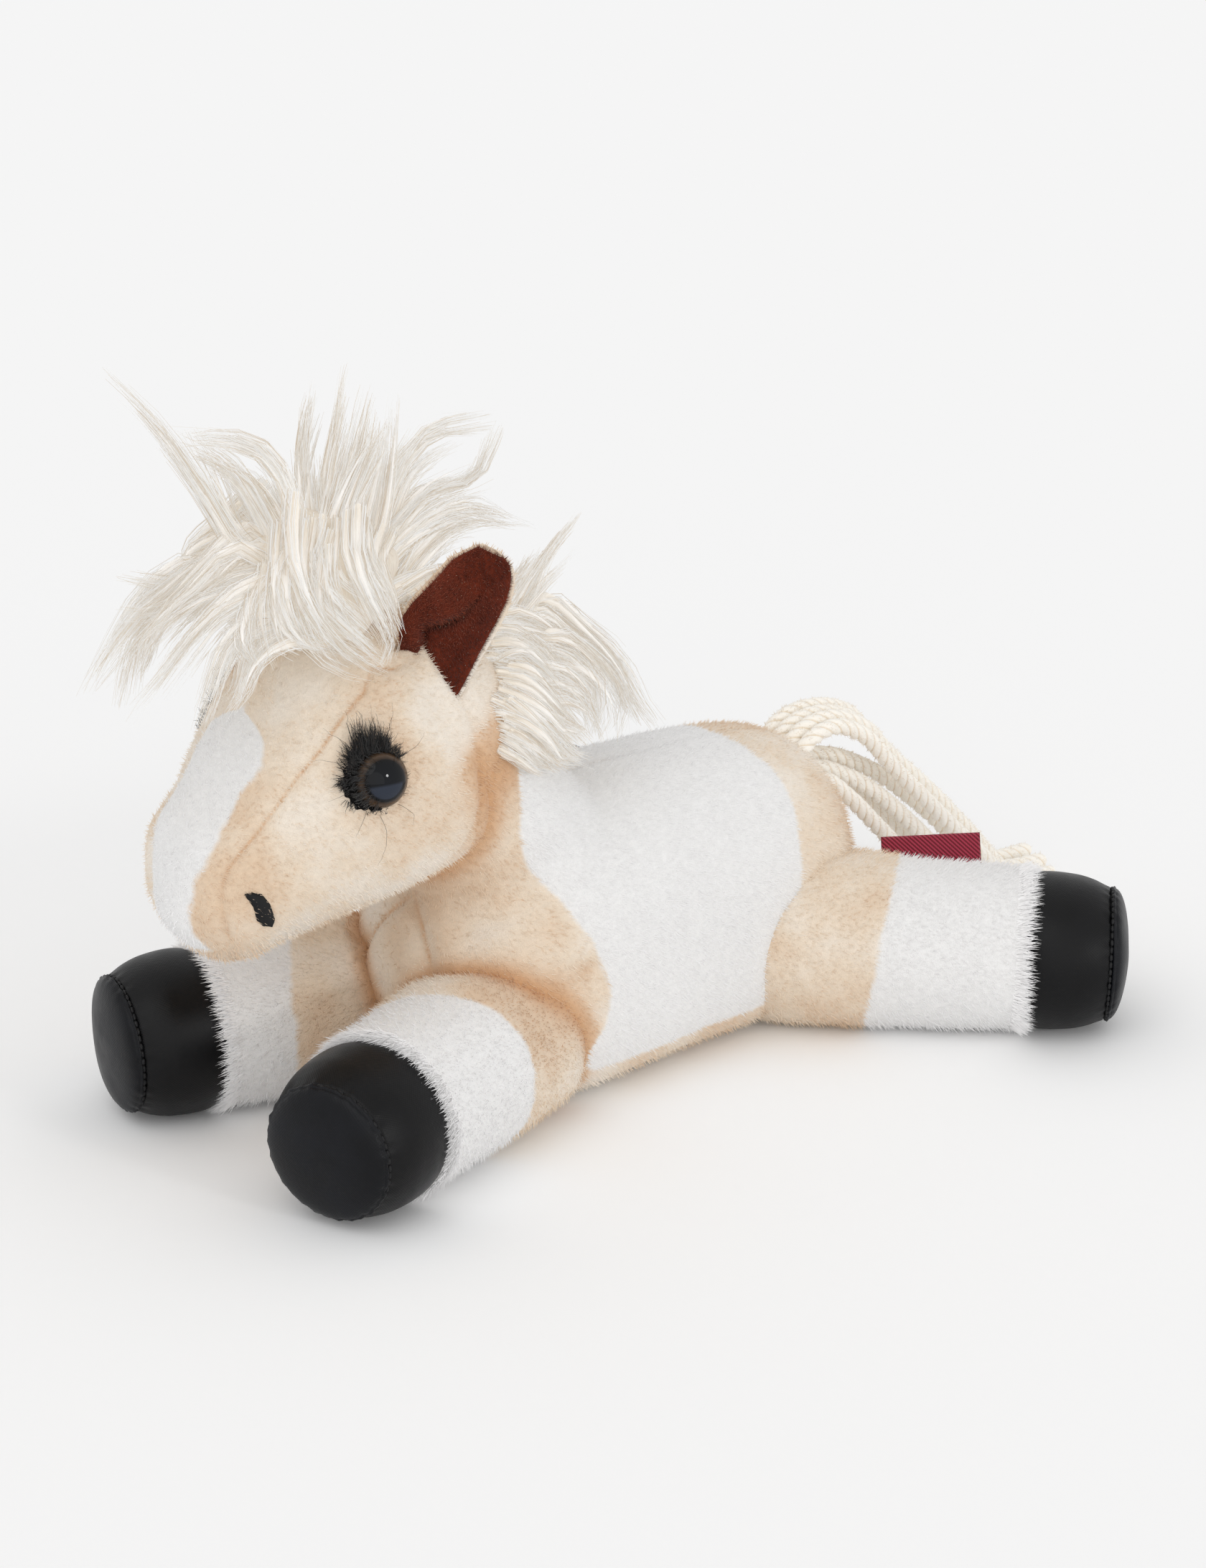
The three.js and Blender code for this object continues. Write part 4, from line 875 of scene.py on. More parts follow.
# the end of a leg is rounded at its edge, and its middle lies a little lower
end_round, end_middle, leg_sides = 2.2, 1.2, 120
leg_skins = {}
for number, (name, (sleeve, _, outer, inner, slant, side)) in enumerate(legs.items()):
    rings = [ring(-X * leg_radius * math.cos(a), Y, Z, *[leg_radius * math.sin(a)] * 3, sides=leg_sides)
             for a in np.linspace(0, np.pi / 2, 20)[1:-1]]
    for t in np.linspace(0, 1, 50):
        size = leg_radius * share_curve(leg_shares, t)[0, 0]
        rings.append(ring(X * t * sleeve, Y, Z, size, size, size, sides=leg_sides))
    rim = leg_radius * leg_shares[-1][1]
    for a in np.linspace(0, np.pi / 2, 8)[1:]:
        radius = rim - end_round + end_round * math.cos(a)
        rings.append(ring(X * (sleeve + end_round * math.sin(a)), Y, Z, radius, radius, radius,
                          sides=leg_sides))
    last = rings[-1] - X * (sleeve + end_round)
    rings += [X * (sleeve + end_middle) + last * k for k in (0.9, 0.6, 0.3)]
    rings = [from_leg(name, r) for r in rings]
    skin = loft(f"leg_{name}_skin", rings, from_leg(name, [-leg_radius, 0, 0]),
                from_leg(name, [sleeve + end_middle, 0, 0]))
    stuffed(skin, size=34, amount=0.4, seed=20 + number)
    local = to_leg(name, mm_of(skin))
    tuck = shoulder_tuck * name.startswith("front") * np.interp(local[:, 0], [0, 12, 24], [1, 0.7, 0])
    local[:, 1:] *= (1 - tuck * np.interp(local[:, 2], [-14, 8], [0, 1]))[:, None]
    move_points(skin, place(from_leg(name, local)))
    above_floor(skin)
    local = to_leg(name, mm_of(skin))
    round_share = side * local[:, 1] / leg_radius
    band = (outer + inner) / 2 + (outer - inner) / 2 * np.clip(round_share * 1.15, -1, 1)
    band -= slant * np.clip(local[:, 2] / leg_radius, -1, 1)
    store(skin, "print_edge", local[:, 0] - (sleeve - band))
    store(skin, "seam_and_shade", np.zeros(len(local)))
    store(skin, "coat", points_of(skin))
    skin.data.materials.append(plush)
    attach(skin, f"leg_{name}")
    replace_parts(skin, f"leg_{name}_cover", f"leg_{name}_filling")
    leg_skins[name] = skin
    print(skin.name, triangles(skin), "triangles")

# %% Warm folds of painted shade
# Where two cream skins meet, light goes from one to the other, and the fold looks warm. That warm shade is
# painted into each skin near the other.
def paint_fold_shade(skin, others, reach=4.5, warmth=0.95):
    points = points_of(skin)
    near = np.full(len(points), 0.03)
    for other in others:
        surface = surface_of(other)
        found = [surface.find_nearest(Vector(p), 0.03)[3] for p in points]
        near = np.minimum(near, [0.03 if gap is None else gap for gap in found])
    warm = warmth * np.exp(-((near * 1000 / reach) ** 2)) * (stored(skin, "print_edge") < 0)
    store(skin, "seam_and_shade", np.maximum(stored(skin, "seam_and_shade"), warm))
    print(skin.name, int((warm > 0.3).sum()), "points in a warm fold")


front_legs = [leg_skins["front_left"], leg_skins["front_right"]]
for skin, others in ((body_skin, front_legs + [head_skin]), (head_skin, [body_skin]),
                     (front_legs[0], [body_skin]), (front_legs[1], [body_skin])):
    paint_fold_shade(skin, others)

# %% The body skin bends in the neck
bend_from, bend_to = place(neck_foot + 6 * neck_along), place(neck_foot + 40 * neck_along)
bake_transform(body_skin, "torso", "neck", bend_from, bend_to)

# %% [markdown]
# ## Hooves
# A hoof is a cap of black cloth with a leather-like coat: a barrel wall and a bulged sole, joined
# by a stitched seam that stands up a little and puckers the cloth beside it. Turned profiles give the
# forms, and a Geometry Nodes tree sets the stitches round the seam.

# %% Leather-look cloth
weave_pitch = 0.0009
tree, given, out = shader_group("leather_grain", {
    "Across": "Float", "Along": "Float", "Place": "Vector"}, {"Height": "Float", "Wear": "Float"})
leather_group = tree
weave = calc(tree, "MULTIPLY", calc(tree, "SINE", given["Across"]), calc(tree, "SINE", given["Along"]))
grain = noise(tree, given["Place"], 900.0, 4.0)
soft = noise(tree, given["Place"], 90.0, 2.0)
rise = calc(tree, "MULTIPLY_ADD", weave, 0.28, grain)
rise = calc(tree, "MULTIPLY_ADD", soft, 2.0, rise)
link(tree, out, {"Height": rise, "Wear": soft})


def leather(name, deep, light, flat):
    material, tree, shader = finish_of(name, Specular_IOR_Level=0.2)
    spot = from_mesh(tree, "from_hoof", "Vector")
    x, y, z = parts_of(tree, spot)
    if flat:
        across = calc(tree, "MULTIPLY", y, 2 * math.pi / weave_pitch)
        along = calc(tree, "MULTIPLY", z, 2 * math.pi / weave_pitch)
    else:
        across = calc(tree, "ARCTAN2", y, z)
        across = calc(tree, "MULTIPLY", across, 170.0)
        along = calc(tree, "MULTIPLY", x, 2 * math.pi / weave_pitch)
    cloth = node(tree, "ShaderNodeGroup", node_tree=leather_group)
    link(tree, cloth.inputs, {"Across": across, "Along": along, "Place": spot})
    ramp = ramp_of(tree, cloth.outputs["Wear"], (0.35, deep), (0.7, light))
    rough = span(tree, cloth.outputs["Wear"], 0.3, 0.7, 0.34, 0.48)
    link(tree, shader.inputs, {"Roughness": rough})
    dress(tree, shader, ramp, cloth.outputs["Height"], 0.00012, 0.5)
    return material


hoof_side = leather("hoof_side", "040405", "09090B", False)
hoof_sole = leather("hoof_sole", "05060A", "0D0F15", True)
black_thread, tree, shader = finish_of("black_thread", Roughness=0.6, Specular_IOR_Level=0.3)
fibre = noise(tree, object_place(tree), 3000.0)
dress(tree, shader, ramp_of(tree, fibre, (0.0, "070708"), (1.0, "1E1E20")))

# %% Turned hoof caps
hoof_radius, hoof_length, stitch_radius = 24.6, 27, 20.3
hoof_shares = [[0, 0.93], [0.25, 1.0], [0.6, 0.985], [0.82, 0.925], [1, 0.83]]
profile = [(2.2, 20.5), (1.0, 21.4), (0.4, 22.3)]
profile += [(0.4 + hoof_length * t, hoof_radius * share_curve(hoof_shares, t)[0, 0])
            for t in np.linspace(0.012, 1, 34)]
seam_x, sole_bulge = profile[-1][0], 5.0
profile += [(seam_x + 0.25, 19.4), (seam_x + 0.55, 19.5), (seam_x + 0.8, 20.4),
            (seam_x + 1.2, 20.9), (seam_x + 1.6, 20.7), (seam_x + 1.9, 20.1)]
profile += [(seam_x + 1.6 + sole_bulge * math.cos(a), 20.2 * math.sin(a))
            for a in np.linspace(math.pi / 2 - 0.1, 0.05, 26)]

tree, given, out = geometry_tree("stitches_round", {
    "Pitch": ("Float", 0.0023), "Thread": ("Material", None), "Size": ("Float", 0.0006),
})
line = curve_of(tree, given["Geometry"], "Length", given["Pitch"])
tangent = node(tree, "GeometryNodeInputTangent")
turned = node(tree, "FunctionNodeAlignRotationToVector", {"Vector": tangent}, axis="X")
bead = node(tree, "GeometryNodeMeshUVSphere", {"Segments": 6, "Rings": 5, "Radius": 1.0})
bead = node(tree, "GeometryNodeTransform", {"Geometry": bead, "Scale": (2.1, 1.0, 1.0)})
size = joined(tree, given["Size"], given["Size"], given["Size"])
laid = node(tree, "GeometryNodeInstanceOnPoints", {"Points": line, "Instance": bead, "Rotation": turned,
                                                   "Scale": size})
laid = node(tree, "GeometryNodeRealizeInstances", {"Geometry": laid})
laid = node(tree, "GeometryNodeSetShadeSmooth", {"Geometry": laid})
link(tree, out, {0: painted(tree, laid, given["Thread"])})
stitches_round = tree

for number, (name, (sleeve, *_)) in enumerate(legs.items()):
    rng = np.random.default_rng(70 + number)
    sides, phases = 112, rng.uniform(0, 6.3, 3)
    turn = 2 * np.pi * np.arange(sides) / sides
    pucker = np.sin(31 * turn + phases[0]) + 0.7 * np.sin(19 * turn + phases[1])
    dent = np.sin(2 * turn + phases[2]) + 0.5 * np.sin(3 * turn + phases[0])
    rings = []
    for x, r in profile:
        near = math.exp(-(((x - seam_x - 0.6) / 2.2) ** 2))
        radius = r + 0.24 * near * pucker + 0.3 * dent * math.sin(math.pi * min(x / seam_x, 1))
        ahead = sleeve + x + 0.3 * dent * min(r / 21, 1) * (x > 2)
        rings.append(np.column_stack([ahead, radius * np.cos(turn), radius * np.sin(turn)]))
    tips = [from_leg(name, [sleeve + x, 0, 0]) for x in (end_round, seam_x + 1.6 + sole_bulge)]
    hoof = loft(f"hoof_{name}", [from_leg(name, r) for r in rings], *tips)
    store(hoof, "from_hoof", (to_leg(name, mm_of(hoof)) - [sleeve, 0, 0]) / 1000)
    above_floor(hoof)
    hoof.data.materials.append(hoof_side)
    hoof.data.materials.append(hoof_sole)
    local = to_leg(name, mm_of(hoof))
    for face in hoof.data.polygons:
        middle = local[list(face.vertices)].mean(0)
        face.material_index = int(middle[0] - sleeve > seam_x + 0.9 or
                                  (middle[0] - sleeve > seam_x + 0.5 and math.hypot(*middle[1:]) < 20))
    seam_ring = np.column_stack([np.full(sides, sleeve + seam_x + 0.55),
                                 stitch_radius * np.cos(turn), stitch_radius * np.sin(turn)])
    seam_ring = place(from_leg(name, seam_ring))
    seam_ring[:, 2] = np.maximum(seam_ring[:, 2], 0.0006)
    spine = mesh_piece("seam_line", seam_ring, [], [(i, (i + 1) % sides) for i in range(sides)])
    stitches = grow(spine, stitches_round, f"hoof_{name}_stitches", Thread=black_thread)
    bpy.data.objects.remove(spine)
    for piece in (hoof, stitches):
        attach(piece, f"leg_{name}")
    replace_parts(hoof, f"hoof_{name}_wall", f"hoof_{name}_sole")
    print(hoof.name, triangles(hoof), "and", triangles(stitches), "triangles")

# %% [markdown]
# ## Threads and hairs
# Long hair, lashes and embroidery are all thin threads that follow guide lines. One tree makes them:
# it copies each guide many times, spreads the copies in a disc that narrows to the tip, lets
# them wave and end at different lengths, and gives each a tapered three-sided tube. A long hair
# then costs about forty triangles.

# %% The tree that grows strands
tree, given, out = geometry_tree("strands", {
    "Strands": ("Int", 40), "Thickness": ("Float", 0.0002), "Tip": ("Float", 0.25),
    "Gather": ("Float", 0.8), "Wave": ("Float", 0.002), "Wave size": ("Float", 60.0),
    "Shortest": ("Float", 0.7), "Stations": ("Int", 8), "Seed": ("Int", 1),
    "Sides": ("Int", 3),
    "Light": ("Material", None), "Middle": ("Material", None), "Deep": ("Material", None),
})


def random_number(seed, low=0.0, high=1.0):
    return node(tree, "FunctionNodeRandomValue", {2: low, 3: high, "Seed": seed},
                data_type="FLOAT").outputs[1]


def random_way(seed, most):
    return node(tree, "FunctionNodeRandomValue", {0: (-most,) * 3, 1: (most,) * 3, "Seed": seed},
                data_type="FLOAT_VECTOR")


def read(name, kind="FLOAT"):
    return node(tree, "GeometryNodeInputNamedAttribute", {"Name": name}, data_type=kind).outputs[0]


line = curve_of(tree, given["Geometry"], "Count", given["Stations"])
line = node(tree, "GeometryNodeDuplicateElements", {"Geometry": line, "Amount": given["Strands"]},
            domain="SPLINE")
seeds = [calc(tree, "ADD", given["Seed"], float(k * 101)) for k in range(3)]
strand = keep(tree, line, "way", random_way(seeds[0], 1.0), "FLOAT_VECTOR", "CURVE")
strand = keep(tree, strand, "tone", random_number(seeds[1]), domain="CURVE")
strand = keep(tree, strand, "span", random_number(seeds[2]), domain="CURVE")
factor = node(tree, "GeometryNodeSplineParameter")
tangent = node(tree, "GeometryNodeInputTangent")
way = read("way", "FLOAT_VECTOR")
onto = vector_calc(tree, "DOT_PRODUCT", way, tangent)
onto = vector_calc(tree, "SCALE", tangent, onto.outputs["Value"])
disc = vector_calc(tree, "SUBTRACT", way, onto)
spread = read("spread")
narrow = calc(tree, "SUBTRACT", 1.0, calc(tree, "MULTIPLY", factor, given["Gather"]))
spread = calc(tree, "MULTIPLY", spread, narrow)
offset = vector_calc(tree, "SCALE", disc, spread)
spot = node(tree, "GeometryNodeInputPosition")
shifted = vector_calc(tree, "ADD", spot, vector_calc(tree, "SCALE", way, 0.012))
curl = noise(tree, shifted, given["Wave size"], 1.0)
curl = vector_calc(tree, "SUBTRACT", curl.outputs["Color"], (0.5, 0.5, 0.5))
much = calc(tree, "MULTIPLY", factor, given["Wave"])
curl = vector_calc(tree, "SCALE", curl, much)
offset = vector_calc(tree, "ADD", offset, curl)
strand = node(tree, "GeometryNodeSetPosition", {"Geometry": strand, "Offset": offset})
end = span(tree, read("span"), 0.0, 1.0, given["Shortest"])
strand = node(tree, "GeometryNodeTrimCurve", {"Curve": strand, 3: end}, mode="FACTOR")
slim = span(tree, calc(tree, "POWER", factor, 1.6), 0.0, 1.0, 1.0, given["Tip"])
slim = calc(tree, "MULTIPLY", slim, given["Thickness"])
section = node(tree, "GeometryNodeCurvePrimitiveCircle", {"Resolution": given["Sides"], "Radius": 1.0})
tube = painted(tree, swept(tree, strand, section, Scale=slim), given["Light"])
tube = painted(tree, tube, given["Middle"], read("tone"), 0.42)
tube = painted(tree, tube, given["Deep"], read("tone"), 0.8)
link(tree, out, {0: tube})
strands_tree = tree


def guide_piece(guides):
    """Guides are (points, spread at the root, spread at the tip), in millimetres."""
    points, edges, spreads = [], [], []
    for path, root, tip in guides:
        first = len(points)
        points += list(path)
        edges += [(first + i, first + i + 1) for i in range(len(path) - 1)]
        spreads += list(np.linspace(root, tip, len(path)) / 1000)
    piece = mesh_piece("guides", place(points), [], edges)
    store(piece, "spread", spreads)
    return piece


def strands(name, guides, body, slot, light, middle, deep, **sizes):
    guide = guide_piece(guides)
    made = grow(guide, strands_tree, name, Light=light, Middle=middle, Deep=deep, **sizes)
    bpy.data.objects.remove(guide)
    drop_layers(made, "way", "tone", "span", "spread")
    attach(made, body)
    print(name, len(guides), "guides,", triangles(made), "triangles")
    return made


def fibre_tone(name, code, rough=0.6, sheen=0.2):
    material, tree, shader = finish_of(name, Roughness=rough, Sheen_Weight=sheen,
                                       Specular_IOR_Level=0.3)
    dress(tree, shader, linear(code))
    return material


def bow(root, bend, tip, count=12):
    t = np.linspace(0, 1, count)[:, None]
    root, bend, tip = (np.asarray(p, float) for p in (root, bend, tip))
    return (1 - t) ** 2 * root + 2 * t * (1 - t) * bend + t**2 * tip


# %% [markdown]
# ## Eyes, lashes and nostrils
# An eye is a clear plastic dome with a brown ring and a large pupil behind it. It is locked by a
# washer inside the head. The washer is a flat disc, so its thinnest direction is the way the eye
# faces, and that gives the dome its place here. Round the eye is a patch of black brushed cloth.

# %% Eyes
eye_radius, eye_height = 8.3, 6.0
glassy, tree, shader = finish_of("eye_dome", Roughness=0.04, Specular_IOR_Level=0.22)
spot = from_mesh(tree, "from_eye", "Vector")
x, y, _ = parts_of(tree, spot)
flatten = joined(tree, x, y)
out_from = vector_calc(tree, "LENGTH", flatten)
speckle = noise(tree, spot, 6.0, 4.0)
shift = calc(tree, "MULTIPLY_ADD", speckle, 0.05, out_from.outputs["Value"])
ramp = ramp_of(tree, shift, (0.0, "0B0E14"), (0.62, "07090D"), (0.74, "080708"), (0.78, "33261C"),
               (0.88, "574536"), (0.96, "35281E"), (1.0, "0A0807"))
# The lower part of the pupil is painted bluish grey, a painted reflection of the floor.
floor_reflection_height = calc(tree, "MULTIPLY_ADD", x, -0.38, y)
low = span(tree, floor_reflection_height, -0.1, -0.2)
pupil = span(tree, out_from.outputs["Value"], 0.66, 0.6)
low = calc(tree, "MULTIPLY", low, pupil)
dress(tree, shader, mixed(tree, low, ramp, "2A303C"))

lash_cloth, tree, shader = finish_of("lash_cloth", Roughness=1.0, Specular_IOR_Level=0.1)
nap = noise(tree, object_place(tree), 1500.0, 3.0)
dress(tree, shader, ramp_of(tree, nap, (0.0, "040404"), (1.0, "1C1B1B")), nap, 0.0005)
lash_black, lash_soft = fibre_tone("lash_black", "060606"), fibre_tone("lash_soft", "1A1817")
lash_brown = fibre_tone("lash_brown", "2A221D")

hull = surface_of(head_skin)
eye_frames = {}
for side, sign in (("left", -1), ("right", 1)):
    disc = mm_of(frame["nodes"][f"eye_washer_{side}"])
    _, _, ways = np.linalg.svd(disc - disc.mean(0))
    facing = ways[2] * np.sign(ways[2][1] * sign)
    top = (mm_of(frame["nodes"][f"eye_{side}"]) @ facing).max()
    centre = disc.mean(0) + facing * (top - eye_height - disc.mean(0) @ facing)
    ahead = unit(head_ahead - facing * (head_ahead @ facing))
    upward = np.cross(facing, ahead) * sign
    centre = centre - 0.3 * ahead - 1.6 * upward
    eye_frames[side] = (centre, facing, ahead, upward)
    rings = [centre + facing * (eye_height * h) + eye_radius * r * (
        np.cos(turn)[:, None] * ahead + np.sin(turn)[:, None] * upward)
        for r, h in [(0.9, -0.12), (1.0, -0.06)] + [(math.cos(a), math.sin(a))
                                                      for a in np.linspace(0, 1.5, 28)]]
    dome = loft(f"eye_{side}_dome", rings, centre - facing * 0.7, centre + facing * eye_height)
    local = (mm_of(dome) - centre) / eye_radius
    store(dome, "from_eye", np.column_stack([local @ ahead, local @ upward, local @ facing]))
    dome.data.materials.append(glassy)
    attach(dome, "head")
    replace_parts(dome, f"eye_{side}")
    print(dome.name, "faces", np.round(facing, 2).tolist(), "at", np.round(centre, 1).tolist())

# %% Lash patches and lashes
# A patch lies a little ahead of its eye and above it, and is a little longer than high.
lash_radius, lash_ahead, lash_above, lash_stretch = 9.2, 1.6, 1.0, 1.05
for side, (centre, facing, ahead, upward) in eye_frames.items():
    rows = []
    for k, share in enumerate(np.linspace(0.15, 1, 16)):
        ragged = 1 + 0.035 * np.sin(9 * turn) + 0.03 * np.sin(23 * turn + 1) if k > 12 else 1
        radius = lash_radius * share * ragged * np.ones(len(turn))
        row = centre + (radius * np.cos(turn) * lash_stretch + lash_ahead)[:, None] * ahead + (
            radius * np.sin(turn) + lash_above)[:, None] * upward
        lift = 1.2 * math.sqrt(max(0.0, 1 - share**6)) + 0.15
        rows.append(onto_head(row + facing * 2, lift))
    under = [onto_head(row, -0.6) for row in rows[::-1]]
    patch = loft(f"lash_patch_{side}_cloth", rows + under, rows[0].mean(0), under[-1].mean(0))
    patch.data.materials.append(lash_cloth)
    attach(patch, "head")
    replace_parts(patch, f"lash_patch_{side}")
    rng = np.random.default_rng(31)
    guides = []
    for k in range(230):
        a = rng.normal(1.75, 0.75) if k < 215 else rng.uniform(0, 2 * math.pi)
        r = rng.uniform(6.4, 9.8)
        root = onto_head([centre + (r * math.cos(a) * lash_stretch + lash_ahead) * ahead
                          + (r * math.sin(a) + lash_above) * upward + facing * 2], 0.9)[0]
        lid = math.exp(-(((a - 1.85) / 0.6) ** 2))
        length = rng.uniform(1.5, 3.2) + rng.uniform(3.0, 14.0) * lid * rng.uniform(0.35, 1)
        outward = math.cos(a) * ahead + math.sin(a) * upward
        way = outward * 0.4 + facing * rng.uniform(0.1, 0.4) + (upward - 0.35 * ahead) * 1.4 * lid
        way += ahead * rng.normal(0, 0.3) + rng.normal(0, 0.15, 3)
        way = unit(way)
        bend = root + way * length * 0.5 + rng.normal(0, 0.1, 3) * length
        guides.append((bow(root, bend, root + way * length, 6), 0.7, 1.2))
    for k in range(26):
        a = rng.normal(0.5, 0.75)
        root = centre + lash_radius * (math.cos(a) * ahead + math.sin(a) * upward) + 1.2 * facing
        tip = centre + rng.uniform(4.5, 8) * (math.cos(a + 0.2) * ahead + math.sin(a + 0.2) * upward)
        tip += facing * rng.uniform(5.5, 7)
        guides.append((bow(root, (root + tip) / 2 + 1.5 * facing, tip, 6), 0.8, 1.2))
    strands(f"lashes_{side}", guides, "head", "lash", lash_black, lash_soft, lash_brown, Strands=5,
            Thickness=0.00011, Gather=-0.5, Wave=0.005, Wave_size=300.0, Shortest=0.4, Stations=7)
    guides = []
    for a, length, sag in (
            (1.2, 16, 0.1), (0.8, 13, 0.2), (1.9, 17, 0), (2.3, 14, 0), (2.9, 12, 0.2),
            (5.2, 20, -0.3), (4.5, 9, -0.2), (5.6, 10, 0), (0.2, 9, 0.1), (1.5, 12, 0.2)):
        outward = math.cos(a) * ahead + math.sin(a) * upward
        root = onto_head([centre + outward * 10 + facing * 2], 0.2)[0]
        tip = onto_head([root + outward * length + facing * 3], 2.5)[0]
        side_way = np.cross(outward, facing)
        bend = (root + tip) / 2 + facing * 2.5 + side_way * sag * length
        guides.append((bow(root, bend, tip, 10), 0.5, 1.5))
    strands(f"long_lashes_{side}", guides, "head", "lash", lash_black, lash_brown, lash_brown,
            Strands=1, Thickness=0.00007, Wave=0.004, Wave_size=180.0, Shortest=0.8, Stations=14)

# %% Nostrils in satin stitch
# The outline is filled with threads that lie side by side and arch a little over their padding.
nostril_outline = np.array([[-144.6, 96.6], [-142.0, 96.7], [-139.3, 95.6], [-136.9, 92.2],
                            [-135.4, 87.4], [-136.4, 85.4], [-138.9, 85.9], [-141.0, 88.2],
                            [-142.0, 92.4], [-143.5, 94.8]])
run = np.array([0.6, -0.8])
cross = np.array([0.8, 0.6])
places = nostril_outline @ run
thread_lines = []
for s in np.arange(places.min() + 0.15, places.max(), 0.3):
    cuts = []
    for a, b in zip(nostril_outline, np.roll(nostril_outline, -1, 0)):
        u, v = a @ run - s, b @ run - s
        if u * v < 0:
            cuts.append((a + (b - a) * u / (u - v)) @ cross)
    if len(cuts) >= 2:
        thread_lines.append((s * run + min(cuts) * cross, s * run + max(cuts) * cross))
for side, sign in (("left", -1), ("right", 1)):
    guides = []
    for a, b in thread_lines:
        line = [a + (b - a) * k / 6 for k in range(7)]
        arch = [0.85 * math.sin(math.pi * k / 6) ** 0.5 for k in range(7)]
        path = [onto_head([[p[0], sign * 25.5, p[1]]], h)[0] for p, h in zip(line, arch)]
        guides.append((np.array(path), 0, 0))
    sewn = strands(f"nostril_{side}_stitches", guides, "head", "thread", black_thread, black_thread,
                   black_thread, Strands=1, Thickness=0.0002, Tip=1.0, Wave=0.0, Shortest=1.0,
                   Stations=7, Sides=6)
    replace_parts(sewn, f"nostril_{side}")

# %% [markdown]
# ## Ears
# An ear is a cupped leaf of plush with a lining of brown felt. It is pinched where it is sewn in, so
# its front edge stands ahead of the rest, above a slanting crease. Both layers are sheets with a
# thickness, swept from root to tip.

# %% Felt
felt, tree, shader = finish_of("ear_felt", Roughness=1.0, Sheen_Weight=0.12, Specular_IOR_Level=0.1)
where = from_mesh(tree, "coat", "Vector")
nap = noise(tree, where, 900.0, 4.0, 0.7)
clump = noise(tree, where, 160.0, 2.0)
both = calc(tree, "MULTIPLY", nap, 0.6)
both = calc(tree, "MULTIPLY_ADD", clump, 0.4, both)
ramp = ramp_of(tree, both, (0.35, "4A1D11"), (0.66, "74311F"))
# the felt is painted almost black along the crease of the fold, a painted shade
dress(tree, shader, mixed(tree, from_mesh(tree, "seam_and_shade"), ramp, "230B06"), both, 0.0007, 0.8)

# %% Ear leaves
# The outline was drawn flat: height above the fold, then the inner and the outer edge, in mm.
ear_outline = np.array([
    [-7, -12, 5.6], [0, -13.6, 6.6], [3, -14.6, 6.8], [8, -16.9, 7], [11, -17.9, 7.1], [16, -17.4, 7.4],
    [21.5, -15.6, 7.8], [28, -13.7, 7.9], [33, -12.3, 7], [36, -10.2, 5.9], [38.5, -8.2, 4.2],
    [40, -6.9, 1.6], [40.9, -5, -1.6],
])
# the crease runs from the base across the leaf, as a share from the middle to an edge
crease_line = np.array([[-7, -0.5], [9, -0.5], [12.3, -0.55], [14.4, -0.33], [17, -0.14], [19.7, 0],
                        [22.5, 0.06], [25.5, 0.13], [28.5, 0.2]])
# where the skin of the head ends on the felt
base_line = np.array([[-16, 2], [-14.5, 2.9], [-12.9, 4.7], [-11.7, 7.2], [-11.2, 9.3], [-8.5, 7.2],
                      [-5, 4.7], [-1.3, 2.3], [2.7, 0.1], [6.7, -1.6], [9, -2.5]])
ear_wall, felt_wall = 2.0, 1.3
ear_parts = {}


def soft_step(x):
    x = np.clip(x, 0, 1)
    return x * x * (3 - 2 * x)


def ear_middle(height):
    low, high = (np.interp(height, ear_outline[:, 0], ear_outline[:, k]) for k in (1, 2))
    return (low + high) / 2, (high - low) / 2


def leaf_depth(side, height):
    """How far the leaf stands in front of the fold's plane: a cup with a lobe folded over it."""
    middle, half = ear_middle(height)
    v = (side - middle) / half
    cup = np.interp(height, [-7, 5, 20, 33, 41], [1.5, 2.5, 6.5, 4.5, 1.5])
    forward = np.interp(height, [-7, 5, 20, 41], [5.5, 5, 4, 3])
    crease = np.interp(height, crease_line[:, 0], crease_line[:, 1])
    fade = 1 - soft_step((height - 18) / 12)
    lobe = soft_step((crease + 0.06 - v) / 0.12) * soft_step((height - 2.5) / 5)
    roll = 1.3 * np.sin(np.pi * np.clip((v + 1) / np.maximum(0.2, crease + 1), 0, 1))
    fold = 2.4 * np.exp(-(((v - crease - 0.13) / 0.13) ** 2))
    return forward + cup * (v * v - 0.5) + fade * (lobe * (3.4 + roll) - fold)


